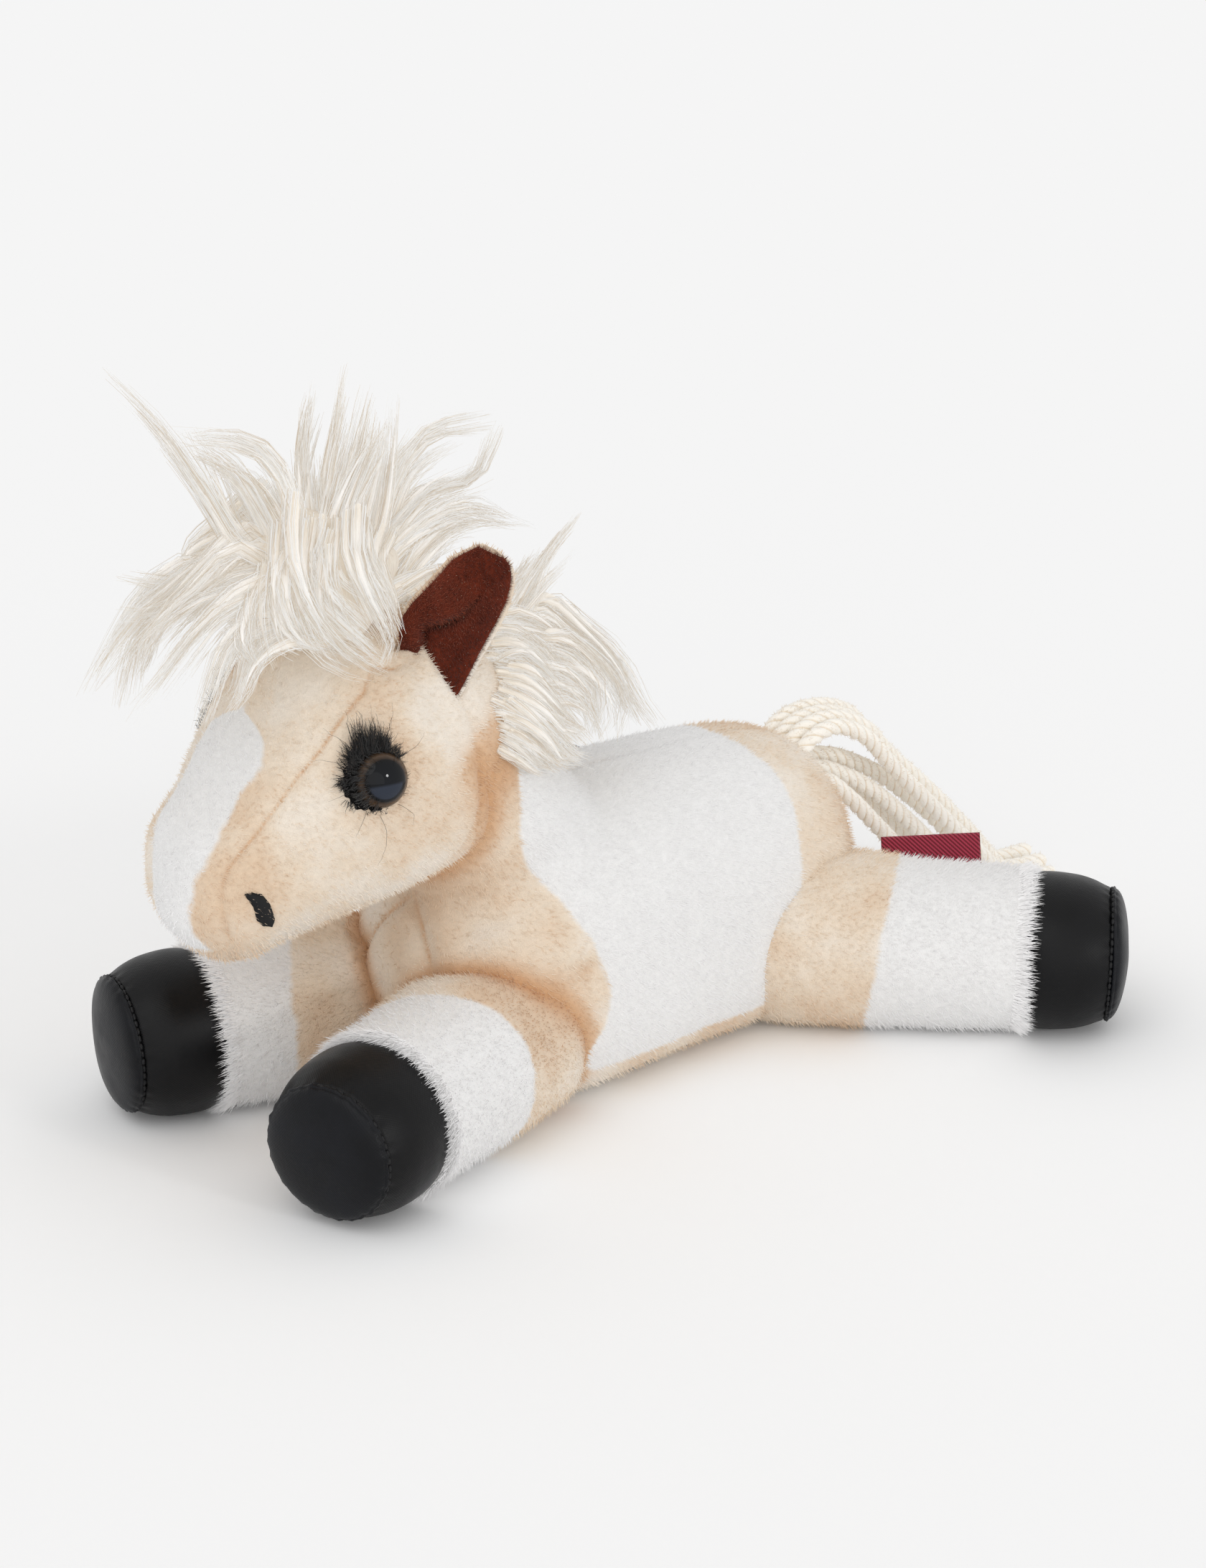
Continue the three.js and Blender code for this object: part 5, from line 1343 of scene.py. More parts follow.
def ear_sheet(name, frame_of_ear, low, high, share):
    """A leaf between two distances in front of its middle surface, a little smaller by the share."""
    seat, lean, across, opening = frame_of_ear
    rows, columns = 56, 61
    grid, creased = {}, []
    for layer, offset in (("front", high), ("back", low)):
        points = []
        for i in range(rows):
            height = -7 + (47.9 * share + 0.2) * math.sin(0.5 * math.pi * i / (rows - 1))
            middle, half = ear_middle(height)
            v = np.linspace(-1, 1, columns)
            side = middle + v * half * share
            ahead = leaf_depth(side, height)
            if layer == "front":
                # along the crease the front face is marked, and each finish paints shade there
                crease = np.interp(height, crease_line[:, 0], crease_line[:, 1])
                fade = soft_step((height - 2) / 4) * (1 - soft_step((height - 20) / 12))
                creased += list(fade * np.exp(-(((v - crease - 0.12) / 0.11) ** 2)))
            slope = np.column_stack([np.gradient(side), np.gradient(ahead)])
            slope /= np.linalg.norm(slope, axis=1)[:, None]
            edge = np.sqrt(np.clip(1 - np.abs(v) ** 8, 0.03, 1))
            out = (low + high) / 2 + (offset - (low + high) / 2) * np.maximum(edge, 0.25)
            side, ahead = side - out * slope[:, 1], ahead + out * slope[:, 0]
            for s, a in zip(side, ahead):
                points.append(seat + lean * height + across * s + opening * a)
        grid[layer] = np.array(points)
    faces, n = [], rows * columns
    index = lambda r, c: r * columns + c
    for r in range(rows - 1):
        for c in range(columns - 1):
            a, b, d, e = index(r, c), index(r, c + 1), index(r + 1, c + 1), index(r + 1, c)
            faces += [(a, b, d, e), (n + a, n + e, n + d, n + b)]
        for c in (0, columns - 1):
            faces.append((index(r, c), index(r + 1, c), n + index(r + 1, c), n + index(r, c)))
    for c in range(columns - 1):
        for r in (0, rows - 1):
            faces.append((index(r, c), index(r, c + 1), n + index(r, c + 1), n + index(r, c)))
    piece = mesh_piece(name, place(np.vstack([grid["front"], grid["back"]])), faces)
    store(piece, "seam_and_shade", np.array(creased * 2))
    return tidy_mesh(piece)


def pocket(frame_of_ear):
    """Presses the skin of the head behind the leaf, down to the line where the ear is sewn in."""
    seat, lean, across, opening = frame_of_ear
    points = mm_of(head_skin)
    side, ahead, height = ((points - seat) @ way for way in (across, opening, lean))
    middle, half = ear_middle(height)
    wanted = leaf_depth(np.clip(side, middle - half, middle + half), height) - 1.6
    much = soft_step((height - np.interp(side, base_line[:, 0], base_line[:, 1]) + 0.9) / 1.8)
    much *= 1 - soft_step((np.abs(side - middle) - half - 0.3) / 2.5)
    much *= (height < 41) & (ahead > wanted) & (ahead < 22)
    points += (much * (wanted - ahead))[:, None] * opening
    move_points(head_skin, place(points))
    return int((much > 0).sum())


for side, sign in (("left", -1), ("right", 1)):
    lean = unit(np.array([0.68, 0, 1.0]))
    across = unit(np.cross(lean, [-1.0, sign, 0.3]))
    opening = np.cross(across, lean)
    across = across * -sign
    ear_frame = (joint_at[f"ear_{side}_fold"], lean, across, opening)
    outer = ear_sheet(f"ear_{side}_plush", ear_frame, -ear_wall, 0.2, 1)
    inner = ear_sheet(f"ear_{side}_felt", ear_frame, 0.0, felt_wall, 0.97)
    pressed = pocket(ear_frame)
    for piece, node_name, finish, slot in ((outer, "outer", plush, "plush"),
                                           (inner, "lining", felt, "ear_felt")):
        store(piece, "print_edge", np.full(len(piece.data.vertices), -9.0))
        store(piece, "coat", points_of(piece))
        piece.data.materials.append(finish)
        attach(piece, f"ear_{side}")
        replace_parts(piece, f"ear_{side}_{node_name}")
        ear_parts[side, node_name] = piece
    print("ear", side, triangles(outer) + triangles(inner), "triangles,", pressed, "points pressed")

# %% [markdown]
# ## Label
# A red twill ribbon is folded once and sewn into the seam of the left hind leg. It stays bare.

# %% Ribbon
rib_pitch, warp_pitch = 0.0014, 0.00035
ribbon_red, tree, shader = finish_of("ribbon_twill", Roughness=0.75, Sheen_Weight=0.15,
                                     Specular_IOR_Level=0.25)
spot = from_mesh(tree, "from_ribbon", "Vector")
x, y, _ = parts_of(tree, spot)
slant = calc(tree, "ADD", x, y)
slant = calc(tree, "SINE", calc(tree, "MULTIPLY", slant, 2 * math.pi / rib_pitch))
ends = calc(tree, "SINE", calc(tree, "MULTIPLY", x, 2 * math.pi / warp_pitch))
weave = calc(tree, "MULTIPLY_ADD", ends, 0.3, slant)
ramp = ramp_of(tree, span(tree, weave, -1.2, 1.2), (0.0, "650C1C"), (1.0, "C8415A"))
dress(tree, shader, ramp, weave, 0.0003, 0.8)

label_length, label_height, label_thick, fold_width, label_tuck = 31, 9.4, 0.8, 2.2, 3
bend_radius = fold_width / 2
path = [(-bend_radius, h) for h in np.linspace(-label_tuck, label_height - bend_radius, 16)[:-1]]
path += [(-bend_radius * math.cos(a), label_height - bend_radius + bend_radius * math.sin(a))
         for a in np.linspace(0, math.pi, 12)]
path += [(bend_radius, h) for h in np.linspace(label_height - bend_radius, -label_tuck, 16)[1:]]
path = np.array(path)
slope = np.gradient(path, axis=0)
slope /= np.linalg.norm(slope, axis=1)[:, None]
sleeve = legs["hind_left"][0]
foot_radius = leg_radius * share_curve(leg_shares, 0.4)[0, 0]
foot = np.array([0.4 * sleeve, foot_radius * math.sin(0.52 * math.pi / 2),
                 foot_radius * math.cos(0.52 * math.pi / 2)])
tip_over = np.array(Matrix.Rotation(-0.3 * math.pi / 2, 3, "X"))
tilt = np.array(Matrix.Rotation(math.radians(-6), 3, "Y"))
half_way = np.array([label_length / 2, 0, 0])
points, flat, faces = [], [], []
columns, rows = 32, len(path)
travelled = reach_along(path)
for offset in (0.0, label_thick):
    for c in range(columns + 1):
        x = label_length * c / columns
        ripple = 0.25 * math.sin(2.2 * math.pi * c / columns)
        for (a, h), (sa, sh), d in zip(path, slope, travelled):
            spot = np.array([x, a + offset * sh + ripple * max(h, 0) / 10, h - offset * sa])
            spot = tilt @ (spot - half_way) + half_way
            points.append(from_leg("hind_left", tip_over @ spot + foot))
            flat.append([x / 1000, d / 1000, offset / 1000])
n = (columns + 1) * rows
for c in range(columns):
    for r in range(rows - 1):
        a, b, d, e = c * rows + r, (c + 1) * rows + r, (c + 1) * rows + r + 1, c * rows + r + 1
        faces += [(a, b, d, e), (n + a, n + e, n + d, n + b)]
    for r in (0, rows - 1):
        a, b = c * rows + r, (c + 1) * rows + r
        faces.append((a, b, n + b, n + a))
for c in (0, columns):
    for r in range(rows - 1):
        a, b = c * rows + r, c * rows + r + 1
        faces.append((a, b, n + b, n + a))
ribbon = mesh_piece("side_ribbon", place(points), faces)
store(ribbon, "from_ribbon", flat)
tidy_mesh(ribbon)
ribbon.data.materials.append(ribbon_red)
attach(ribbon, "leg_hind_left")
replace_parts(ribbon, "side_label")
print("ribbon", triangles(ribbon), "triangles")

# %% Parts that stay as packed
# The washers are inside the head. The roots of the tail show between the cords.
moulded, tree, shader = finish_of("moulded_white", Roughness=0.5)
cloudy = noise(tree, object_place(tree), 300.0)
dress(tree, shader, ramp_of(tree, cloudy, (0.0, "DCDCD8"), (1.0, "EEEEEA")))
cord_root, tree, shader = finish_of("cord_root", Roughness=0.95, Sheen_Weight=0.25)
woven = noise(tree, object_place(tree), 700.0, 4.0)
dress(tree, shader, ramp_of(tree, woven, (0.0, "B7A68C"), (1.0, "EDE4D6")), woven, 0.0006)
for name, finish in (("eye_washer_left", moulded), ("eye_washer_right", moulded),
                     ("tail_root_upper", cord_root), ("tail_root_lower", cord_root)):
    for slot in frame["nodes"][name].material_slots:
        slot.material = finish

# %% [markdown]
# ## Forelock and mane
# The hair is long, silky pile that stands up from the crown and breaks into locks. Each main lock is
# a chain of points. A lock splits into a few soft bodies that end in one point, and more of them
# run between neighbouring locks, so the hair flows one way. Fine strands round each body give it
# its soft edge.

# %% The tree that sweeps a lock
tree, given, out = geometry_tree("lock_bodies", {
    "Stations": ("Int", 12), "Sides": ("Int", 8), "Flat": ("Float", 0.62),
    "Seed": ("Int", 1), "Hair": ("Material", None),
})
line = curve_of(tree, given["Geometry"], "Count", given["Stations"])
factor = node(tree, "GeometryNodeSplineParameter")
lock = keep(tree, line, "tone", random_number(given["Seed"]), domain="CURVE")
lock = keep(tree, lock, "reach", factor)
twist = calc(tree, "MULTIPLY_ADD", read("tone"), 6.0, factor)
lock = node(tree, "GeometryNodeSetCurveTilt", {"Curve": lock, "Tilt": twist})
section = node(tree, "GeometryNodeCurvePrimitiveCircle", {"Resolution": given["Sides"], "Radius": 1.0})
spot = node(tree, "GeometryNodeInputPosition")
section = keep(tree, section, "around", spot, "FLOAT_VECTOR")
x, y, _ = parts_of(tree, spot)
angle = calc(tree, "ARCTAN2", y, x)
ridge = calc(tree, "SINE", calc(tree, "MULTIPLY", angle, 5.0))
ridge = calc(tree, "MULTIPLY_ADD", ridge, 0.08, 0.94)
oval = joined(tree, 1.0, given["Flat"], 1.0)
oval = vector_calc(tree, "MULTIPLY", spot, oval)
oval = vector_calc(tree, "SCALE", oval, ridge)
section = node(tree, "GeometryNodeSetPosition", {"Geometry": section, "Position": oval})
tube = swept(tree, lock, section, Scale=read("girth"))
link(tree, out, {0: painted(tree, tube, given["Hair"])})
lock_tree = tree

# %% Silk
# Lines of hair run along a lock. It is a darker cream near its root, which is painted shade,
# and white at its end. Light wanders from hair to hair inside a lock, which is stood in for by a
# weak glow of the same colour.
hair_glow = 0.32
silk, tree, shader = finish_of("silky_hair", Roughness=0.8, Sheen_Weight=0.2, Specular_IOR_Level=0.1,
                               Emission_Strength=hair_glow, Subsurface_Weight=1.0,
                               Subsurface_Scale=0.003, Subsurface_Radius=(1.0, 1.0, 1.0))
around = from_mesh(tree, "around", "Vector")
reach = from_mesh(tree, "reach")
tone = from_mesh(tree, "tone")
x, y, _ = parts_of(tree, around)
depth = calc(tree, "MULTIPLY_ADD", tone, 40.0, reach)
flow = joined(tree, x, y, depth)
streak = noise(tree, flow, 5.0, 5.0, 0.7)
# darker cream towards the root is painted shade inside the hair
pale = span(tree, reach, 0.05, 0.6)
base = mixed(tree, pale, "D4CCC0", "DDDAD6")
lines = span(tree, streak, 0.35, 0.65, 0.95, 1.02)
coloured = vector_calc(tree, "SCALE", base, lines)
dress(tree, shader, coloured, streak, 0.0003, 0.3, glow=True)


# The strands glow weakly too, a painted light like that of the locks.
def hair_tone(name, code):
    material, tree, shader = finish_of(name, Roughness=0.7, Sheen_Weight=0.2,
                                       Specular_IOR_Level=0.15, Emission_Strength=hair_glow)
    dress(tree, shader, linear(code), glow=True)
    return material


hair_light = hair_tone("hair_light", "E1E0DE")
hair_cream = hair_tone("hair_cream", "D8D3CB")
hair_deep = hair_tone("hair_deep", "CCC1B2")

# %% Main locks
# Each is its half width at its thickest, and its points from root to tip, in millimetres.
forelock_locks = [
    (4.5, [-111, 2, 178], [-125, 3, 191], [-136, 4, 210], [-148, 5, 227], [-164, 6, 244]),
    (3.2, [-108, -4, 179], [-110, -4, 198], [-117, -3, 214], [-131, -1, 223], [-148, 2, 227]),
    (3.5, [-108, 0, 178], [-117, 0, 195], [-124, 1, 208], [-133, 2, 217], [-143, 4, 223]),
    (1.5, [-95, 5, 185], [-97, 5, 202], [-96, 5, 216], [-93, 5, 229]),
    (2.0, [-95, 0, 184], [-93, 0, 205], [-89, 0, 219], [-85, 0, 233]),
    (5.0, [-89, -2, 174], [-87, -2, 193], [-83, -2, 210], [-79, -2, 229]),
    (4.0, [-82, 4, 173], [-75, 4, 189], [-70, 4, 206], [-67, 4, 223]),
    (4.0, [-97, -8, 177], [-94, -8, 193], [-84, -6, 209], [-71, -4, 225]),
    (2.6, [-73, 8, 175], [-61, 9, 196], [-49, 9, 205], [-21, 10, 204]),
    (1.8, [-63, 12, 175], [-48, 12, 185], [-30, 12, 186], [-20, 12, 201]),
    (4.5, [-76, -4, 172], [-62, -3, 181], [-41, -1, 183], [-18, 1, 174]),
    (4.0, [-77, -6, 168], [-64, -5, 177], [-49, -4, 181], [-35, -3, 180]),
    (5.0, [-111, 0, 174], [-123, 0, 187], [-139, 1, 181], [-157, 2, 173], [-169, 3, 175]),
    (5.0, [-115, -6, 171], [-131, -6, 184], [-148, -5, 178], [-158, -4, 174], [-170, -3, 164]),
    (4.5, [-116, -10, 168], [-132, -12, 179], [-149, -12, 174], [-163, -11, 162], [-173, -10, 153]),
    (4.2, [-116, -14, 167], [-132, -16, 172], [-145, -17, 167], [-151, -17, 156], [-156, -16, 143]),
    (4.0, [-108, 6, 169], [-122, 8, 176], [-143, 10, 178], [-160, 12, 184]),
    (3.6, [-116, -17, 165], [-128, -20, 167], [-138, -21, 163], [-143, -21, 153], [-147, -20, 148]),
    (5.0, [-111, -12, 198], [-119, -20, 185], [-118, -26, 172], [-110, -29, 161], [-98, -31, 154]),
    (4.5, [-95, -10, 192], [-103, -20, 182], [-102, -27, 171], [-97, -31, 159], [-101, -33, 152]),
    (4.5, [-107, -14, 188], [-111, -22, 177], [-106, -27, 168], [-98, -31, 157]),
    (4.0, [-82, -8, 184], [-93, -18, 179], [-93, -25, 171], [-92, -29, 160]),
    (4.2, [-117, -12, 187], [-127, -20, 180], [-125, -25, 169], [-112, -27, 162]),
    (4.0, [-123, -12, 179], [-136, -18, 174], [-142, -22, 167], [-137, -24, 159]),
]
mane_locks = [
    (1.6, [-33, -6, 143], [-28, -6, 150], [-21, -6, 160], [-4, -6, 175]),
    (4.0, [-34, -4, 144], [-17, -4, 150], [-2, -5, 138], [13, -6, 122], [20, -8, 108], [26, -9, 99]),
    (3.2, [-31, 0, 140], [-12, 0, 147], [-1, 0, 138], [9, -2, 127], [18, -5, 110], [25, -8, 99]),
    (3.0, [-27, 6, 140], [-13, 6, 144], [-2, 6, 142], [6, 4, 133], [17, 0, 117], [23, -4, 101]),
    (4.5, [-39, -8, 137], [-28, -10, 144], [-14, -12, 136], [-3, -14, 126], [4, -16, 114],
     [-1, -20, 106]),
    (4.5, [-41, -12, 137], [-30, -14, 138], [-19, -17, 135], [-9, -19, 126], [-4, -21, 116],
     [-11, -25, 108]),
    (4.5, [-45, -16, 132], [-34, -19, 134], [-25, -22, 132], [-17, -24, 125], [-13, -25, 117],
     [-13, -27, 110]),
    (4.5, [-46, -18, 126], [-37, -22, 128], [-27, -25, 126], [-21, -27, 120], [-18, -29, 113]),
    (4.2, [-48, -20, 122], [-41, -25, 124], [-33, -28, 121], [-27, -30, 116], [-21, -31, 109]),
    (4.0, [-49, -22, 117], [-44, -27, 119], [-38, -30, 116], [-31, -32, 111], [-21, -32, 107]),
    (3.6, [-50, -24, 113], [-45, -28, 114], [-40, -31, 112], [-32, -33, 108]),
    (4.0, [-41, -8, 142], [-37, -8, 150], [-31, -8, 156], [-25, -8, 162]),
    (3.0, [-34, 0, 142], [-27, 0, 152], [-21, 0, 158], [-15, 0, 164]),
]
# beside and behind the ears the hair grows from the back of the head and lies over the neck
nape_locks = [
    (3.6, [-48, -11, 147], [-38, -11, 151], [-27, -12, 147], [-15, -13, 137], [-6, -14, 126]),
    (3.8, [-52, -16, 147], [-43, -17, 148], [-31, -17, 142], [-20, -18, 131], [-12, -20, 120]),
    (3.8, [-53, -20, 145], [-46, -21, 144], [-36, -21, 137], [-26, -21, 127], [-18, -22, 116]),
    (3.8, [-54, -25, 141], [-46, -26, 138], [-37, -27, 131], [-28, -27, 122], [-20, -28, 113]),
    (3.8, [-57, -29, 136], [-50, -31, 132], [-42, -32, 126], [-34, -32, 117], [-26, -32, 109]),
    (3.6, [-58, -32, 130], [-52, -34, 126], [-45, -35, 120], [-38, -34, 113], [-30, -33, 107]),
    (3.4, [-57, -33, 123], [-52, -35, 119], [-46, -35, 113], [-39, -34, 108]),
    (3.4, [-80, -10, 168], [-70, -11, 171], [-60, -10, 169], [-50, -8, 162]),
    (3.6, [-74, -10, 163], [-64, -10, 165], [-54, -9, 161], [-44, -8, 153]),
    (3.6, [-68, -9, 159], [-58, -10, 159], [-48, -10, 154], [-36, -10, 146]),
    (3.6, [-62, -4, 158], [-52, -4, 160], [-40, -4, 156], [-28, -4, 148]),
]
# the far side has its own copies of the locks that leave the middle
far_forelocks = [(size, *mirrored(path)) for size, *path in forelock_locks[13:16] + forelock_locks[17:]]
far_manes = [(size, *mirrored(path)) for size, *path in mane_locks[4:12]]
far_napes = [(size, *mirrored(path)) for size, *path in nape_locks]


def evenly(path, count):
    """A smooth line through the points, with its own points evenly spaced."""
    path = smooth_path(path, 8)
    at = reach_along(path)
    return np.column_stack([np.interp(np.linspace(0, at[-1], count), at, path[:, k]) for k in range(3)])


def lock_profile(count):
    """Thickness along a lock: slim at the root, full in the middle, and a point at the end."""
    t = np.linspace(0, 1, count)
    return (0.45 + 0.4 * np.sin(np.pi * np.minimum(t / 0.7, 1))) * (1 - t**2.6) ** 0.9 + 0.02


def split_locks(locks, parts, rng):
    """Bodies of (path, half width): they part in the middle of a lock and meet at its end."""
    bodies = []
    for size, *path in locks:
        main = evenly(path, 16)
        t = np.linspace(0, 1, 16)[:, None]
        for k in range(parts):
            off = rng.normal(0, 0.62, 3) * size
            drift = rng.normal(0, 0.35, 3) * size
            line = main + off * (1 - 0.75 * t**1.5) + drift * t**2
            longer = rng.uniform(0.82, 1.03)
            line = line[0] + (line - line[0]) * (1 + (longer - 1) * t)
            bodies.append((line, size * rng.uniform(0.36, 0.55)))
    return bodies


def between_locks(locks, amount, size, rng):
    """More bodies, each somewhere between two neighbouring locks and shorter than them."""
    mains = [evenly(path, 16) for _, *path in locks]
    bodies = []
    for k in range(amount):
        a = mains[rng.integers(len(mains))]
        far = [np.linalg.norm(a - b, axis=1).mean() for b in mains]
        b = mains[np.argsort(far)[rng.integers(1, 4)]]
        mix, cut = rng.uniform(0.15, 0.85), rng.uniform(0.45, 0.85)
        line = evenly((a * mix + b * (1 - mix))[: max(4, int(16 * cut))], 16)
        t = np.linspace(0, 1, 16)[:, None]
        line = line + rng.normal(0, 2.6, 3) * (1 - t) + rng.normal(0, 3.0, 3) * t
        bodies.append((line, size * rng.uniform(0.7, 1.2)))
    return bodies


rng = np.random.default_rng(5)
fore_bodies = split_locks(forelock_locks, 6, rng) + split_locks(far_forelocks, 5, rng)
fore_bodies += between_locks(forelock_locks + far_forelocks, 170, 2.0, rng)
mane_bodies = split_locks(mane_locks, 6, rng) + split_locks(far_manes, 5, rng)
mane_bodies += between_locks(mane_locks + far_manes, 110, 2.0, rng)
nape_bodies = split_locks(nape_locks, 6, rng) + split_locks(far_napes, 5, rng)
nape_bodies += between_locks(nape_locks[:7], 50, 1.8, rng) + between_locks(far_napes[:7], 40, 1.8, rng)
print("lock bodies:", len(fore_bodies), len(mane_bodies), len(nape_bodies))


# %% Keep the hair out of the skins
def clear_of_skin(bodies, skin_tree, keep=2):
    """Lifts a body's points out of the skin under them, past its own half width."""
    shares = lock_profile(16)
    for path, size in bodies:
        for i in range(keep, len(path)):
            spot, normal, _, far = skin_tree.find_nearest(Vector(place(path[i])))
            gap = (place(path[i]) - np.array(spot)) @ np.array(normal) * 1000
            lift = 0.4 + 0.7 * size * shares[i]
            if gap < lift and far < 0.03:
                path[i] += np.array(normal) * (lift - gap)
    return bodies


body_hull, hull = surface_of(body_skin), surface_of(head_skin)
clear_of_skin(fore_bodies, hull)
clear_of_skin(nape_bodies, hull)
clear_of_skin(nape_bodies, body_hull)
clear_of_skin(mane_bodies, body_hull)
clear_of_skin(mane_bodies, hull)

# %% Lock bodies and their strands
def lay_locks(name, bodies, body, seed):
    """The thick part of each lock. Only its fine strands go on to the end."""
    rng = np.random.default_rng(seed)
    solid = [path[: rng.integers(9, 14)] for path, _ in bodies]
    guide = guide_piece([(path, 0, 0) for path in solid])
    store(guide, "girth", np.concatenate([size * lock_profile(len(path)) for path, (_, size)
                                          in zip(solid, bodies)]) / 1000)
    made = grow(guide, lock_tree, name, Hair=silk, Seed=seed)
    bpy.data.objects.remove(guide)
    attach(made, body)
    print(name, len(bodies), "bodies,", triangles(made), "triangles")
    return made


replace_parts(lay_locks("forelock_locks", fore_bodies, "head", 3), "forelock")
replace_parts(lay_locks("mane_locks", mane_bodies, "neck", 9), "neck_mane")
lay_locks("nape_locks", nape_bodies, "head", 4)
fringes = {
    "forelock_strands_a": (fore_bodies[::2], "head"),
    "forelock_strands_b": (fore_bodies[1::2], "head"),
    "mane_strands": (mane_bodies, "neck"),
    "nape_strands": (nape_bodies, "head"),
}
for number, (name, (bodies, body)) in enumerate(fringes.items()):
    guides = [(path, size * 1.15, size * 1.0) for path, size in bodies]
    strands(name, guides, body, "hair", hair_light, hair_cream, hair_deep, Strands=22,
            Thickness=0.00014, Tip=0.3, Gather=0.3, Wave=0.005, Wave_size=40.0, Shortest=0.6,
            Stations=8, Seed=number + 3)

# %% Cores under the hair
# The cores glow weakly like the hair, a painted light for the light inside it.
wool, tree, shader = finish_of("hair_core", Roughness=0.9, Sheen_Weight=0.2,
                               Emission_Strength=hair_glow)
comb = node(tree, "ShaderNodeMapping", {"Vector": object_place(tree), "Scale": (900, 900, 160)})
line = noise(tree, comb, 1.0, 3.0)
dress(tree, shader, ramp_of(tree, line, (0.3, "CFC3B3"), (0.7, "D7CFC2")), line, 0.001, glow=True)

for name, middle, half_sizes, body in (("forelock_core", [-101, 0, 174], (27, 21, 20), "head"),
                                       ("mane_core", [-39, 0, 120], (14, 21, 17), "neck")):
    core = ball(name, np.array(middle, float), *half_sizes, count=26, sides=48)
    stuffed(core, size=14, amount=0.8, seed=12)
    core.data.materials.append(wool)
    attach(core, body)

# %% [markdown]
# ## Short pile
# Plush is never sharp at its outline: a millimetre or two of pile stands up from the cloth. A tree
# scatters tiny three-sided tufts over each skin, combed one way, and gives each the tone of the print
# under it from the same noise that colours the skin.

# %% The tree that raises the pile
tree, given, out = geometry_tree("short_pile", {
    "Density": ("Float", 700000.0), "Length": ("Float", 0.0021), "Width": ("Float", 0.00016),
    "Comb": ("Vector", (0.6, 0.0, -0.4)), "Lift": ("Float", 0.9), "Seed": ("Int", 1),
    "Cream": ("Material", None), "Peach": ("Material", None), "Deep": ("Material", None),
    "White": ("Material", None), "Fold": ("Material", None),
})
points = node(tree, "GeometryNodeDistributePointsOnFaces", {
    "Mesh": given["Geometry"], "Density": given["Density"], "Seed": given["Seed"]},
    distribute_method="RANDOM")
loose = random_way(given["Seed"], 0.45)
raised = vector_calc(tree, "SCALE", points.outputs["Normal"], given["Lift"])
way = vector_calc(tree, "ADD", raised, given["Comb"])
way = vector_calc(tree, "ADD", way, loose)
turned = node(tree, "FunctionNodeAlignRotationToVector", {"Vector": way}, axis="Z")
tuft = node(tree, "GeometryNodeMeshCone", {
    "Vertices": 3, "Side Segments": 1, "Radius Top": 0.0, "Radius Bottom": 1.0, "Depth": 1.0},
    fill_type="NGON")
size = random_number(given["Seed"], 0.6, 1.15)
tall = calc(tree, "MULTIPLY", size, given["Length"])
scale = joined(tree, given["Width"], given["Width"], tall)
pile = node(tree, "GeometryNodeInstanceOnPoints", {"Points": points, "Instance": tuft,
                                                   "Rotation": turned, "Scale": scale})
pile = keep(tree, pile, "chance", random_number(given["Seed"], -0.07, 0.07), domain="INSTANCE")
pile = node(tree, "GeometryNodeRealizeInstances", {"Geometry": pile})
marble = noise(tree, read("coat", "FLOAT_VECTOR"), marble_scale, marble_detail, marble_rough)
tone = calc(tree, "ADD", marble, read("chance"))
# where a seam or painted shade is marked, the pile takes the fold tone
for label, value, above in (("Cream", None, 0), ("Peach", tone, 0.45), ("Deep", tone, 0.58),
                            ("White", read("print_edge"), 0.0), ("Fold", read("seam_and_shade"), 0.45)):
    pile = painted(tree, pile, given[label], value, above)
link(tree, out, {0: pile})
short_pile = tree

# %% Pile on every skin
# The fold tones, for plush and felt, are darker: they mark seams and paint shade into folds and creases.
plush_tones = [fibre_tone(f"pile_{name}", code, rough=0.9, sheen=0.4) for name, code in (
    ("cream", "F2E8DB"), ("peach", "EDDDC9"), ("deep", "E4CCB2"), ("white", "F2F1F1"),
    ("fold", "DDBC9A"))]
felt_tones = [fibre_tone(f"felt_{name}", code, rough=0.95, sheen=0.1) for name, code in (
    ("deep", "552214"), ("middle", "6C2E1C"), ("light", "8C4630"), ("warm", "773826"),
    ("fold", "2E1009"))]


def raise_pile(skin, name, body, tones=plush_tones, slot="plush", **sizes):
    cream, peach, deep, white, fold = tones
    made = grow(skin, short_pile, name, Cream=cream, Peach=peach, Deep=deep, White=white,
                Fold=fold, **sizes)
    drop_layers(made, "coat", "chance", "seam_and_shade", "print_edge")
    above_floor(made)
    if body:
        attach(made, body)
    print(name, triangles(made), "triangles")
    return made


body_pile = raise_pile(body_skin, "body_pile", None, Density=560000.0, Comb=(0.9, 0.0, -0.5), Seed=1)
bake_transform(body_pile, "torso", "neck", bend_from, bend_to)
raise_pile(head_skin, "head_pile", "head", Density=700000.0, Comb=(0.7, 0.0, -0.3), Seed=2,
           Length=0.0018)
for number, (name, skin) in enumerate(leg_skins.items()):
    turned, _ = leg_frames[name]
    comb = Vector(turned[:, 0]) * 0.8
    raise_pile(skin, f"leg_{name}_pile", f"leg_{name}", Density=620000.0, Seed=3 + number,
               Comb=tuple(comb), Length=0.0024)
for side in ("left", "right"):
    raise_pile(ear_parts[side, "outer"], f"ear_{side}_pile", f"ear_{side}", Density=700000.0,
               Comb=(0.3, 0.0, 0.5), Seed=11, Length=0.0016)
    raise_pile(ear_parts[side, "lining"], f"ear_{side}_felt_nap", f"ear_{side}", felt_tones, "ear_felt",
               Density=3000000.0, Comb=(0.1, 0.0, 0.3), Seed=13, Length=0.0015, Width=0.0001)

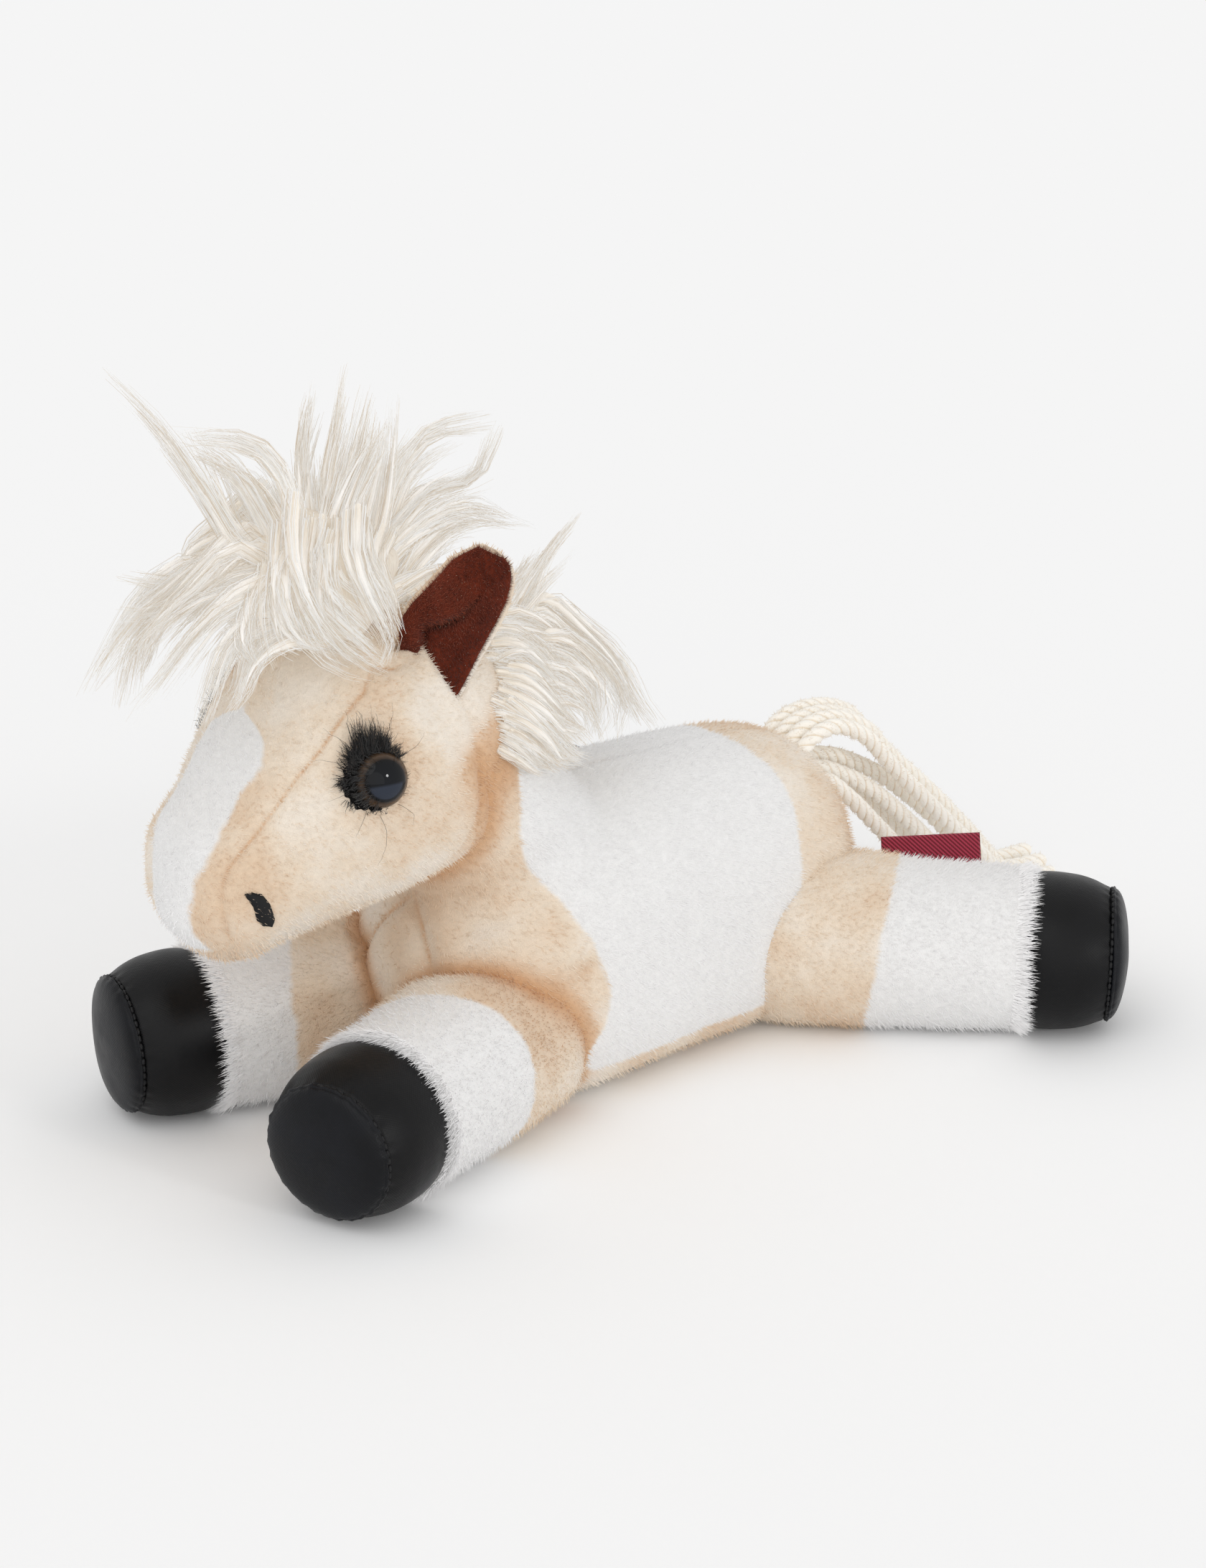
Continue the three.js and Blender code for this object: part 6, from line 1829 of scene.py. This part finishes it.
# %% Tufts over the rims of the hooves
# The pile of each leg stands over the edge of its hoof in white tufts of two or three millimetres.
rim_white = fibre_tone("pile_rim", "F8F7F7", rough=0.9, sheen=0.4)
# The tufts glow weakly, a painted light that lifts the shade between them.
rim_white.node_tree.nodes["Principled BSDF"].inputs["Emission Strength"].default_value = 0.035
for number, (name, skin) in enumerate(leg_skins.items()):
    sleeve = legs[name][0]
    local = to_leg(name, mm_of(skin))
    at_rim = (local[:, 0] > sleeve - 1.8) & (np.hypot(local[:, 1], local[:, 2]) > 22.5)
    picked = [tuple(face.vertices) for face in skin.data.polygons if at_rim[list(face.vertices)].all()]
    used = sorted({i for face in picked for i in face})
    fresh = {old: new for new, old in enumerate(used)}
    rim = mesh_piece("rim", points_of(skin)[used], [tuple(fresh[i] for i in face) for face in picked])
    store(rim, "coat", points_of(rim))
    store(rim, "print_edge", np.full(len(used), 9.0))
    store(rim, "seam_and_shade", np.zeros(len(used)))
    ahead = Vector(leg_frames[name][0][:, 0]) * 1.3
    raise_pile(rim, f"leg_{name}_rim_tufts", f"leg_{name}", [rim_white] * 5, Density=3000000.0,
               Seed=20 + number, Comb=tuple(ahead), Lift=0.6, Length=0.0048, Width=0.00019)
    bpy.data.objects.remove(rim)

# %% Lint on the cords
# Soft cotton is never smooth: short fibres stand off the strands.
lint_tones = [fibre_tone(f"lint_{name}", code, rough=0.9, sheen=0.4) for name, code in (
    ("light", "F6F1E8"), ("middle", "F2EADE"), ("deep", "EADFCE"), ("white", "F3F0EA"),
    ("fold", "D8C8B0"))]
for k, cord in enumerate(laid_cords):
    store(cord, "coat", points_of(cord))
    raise_pile(cord, f"tail_cord_{k + 1}_lint", "torso", lint_tones, "tail_cord", Density=500000.0,
               Seed=40 + k, Comb=(0.3, 0.0, -0.2), Length=0.0012, Width=0.00012)
    drop_layers(cord, "coat")

# %% [markdown]
# ## Floor and light
# The toy lies on a pale floor without an edge. Light comes from a wide, pale sky and one soft sun
# from above, with a small lamp for the eyes and a low, wide one for the near side, so colours show
# about as they are written.

# %% Floor
floor = mesh_piece("floor", [(-12, -12, 0), (12, -12, 0), (12, 12, 0), (-12, 12, 0)], [(0, 1, 2, 3)])
paper, tree, shader = finish_of("floor_paper", Roughness=0.9, Specular_IOR_Level=0.0,
                                Emission_Strength=0.026)
dress(tree, shader, linear("FFFFFF"), glow=True)
floor.data.materials.append(paper)

# %% Lamps and sky
world = bpy.data.worlds.new("sky")
scene.world = world
world.use_nodes = True
tree = world.node_tree
ray = node(tree, "ShaderNodeLightPath")
seen = calc(tree, "MAXIMUM", ray.outputs["Is Camera Ray"], ray.outputs["Is Glossy Ray"])
seen = calc(tree, "MAXIMUM", seen, ray.outputs["Is Transmission Ray"])
link(tree, tree.nodes["Background"].inputs, {
    "Color": (1, 1, 1, 1), "Strength": span(tree, seen, 0.0, 1.0, 0.73, 0.92)})


def sun(name, towards, strength, width):
    light = bpy.data.lights.new(name, "SUN")
    light.energy, light.angle = strength, math.radians(width)
    lamp = bpy.data.objects.new(name, light)
    lamp.rotation_euler = Vector(towards).to_track_quat("Z", "Y").to_euler()
    scene.collection.objects.link(lamp)


sun("soft_sun", (-0.75, -0.35, 1.0), 0.42, 45)
sun("eye_light", (0.14, -0.95, 0.32), 0.35, 7)
sun("low_fill", (-0.55, -0.85, 0.12), 0.34, 60)
scene.view_settings.view_transform = "Standard"
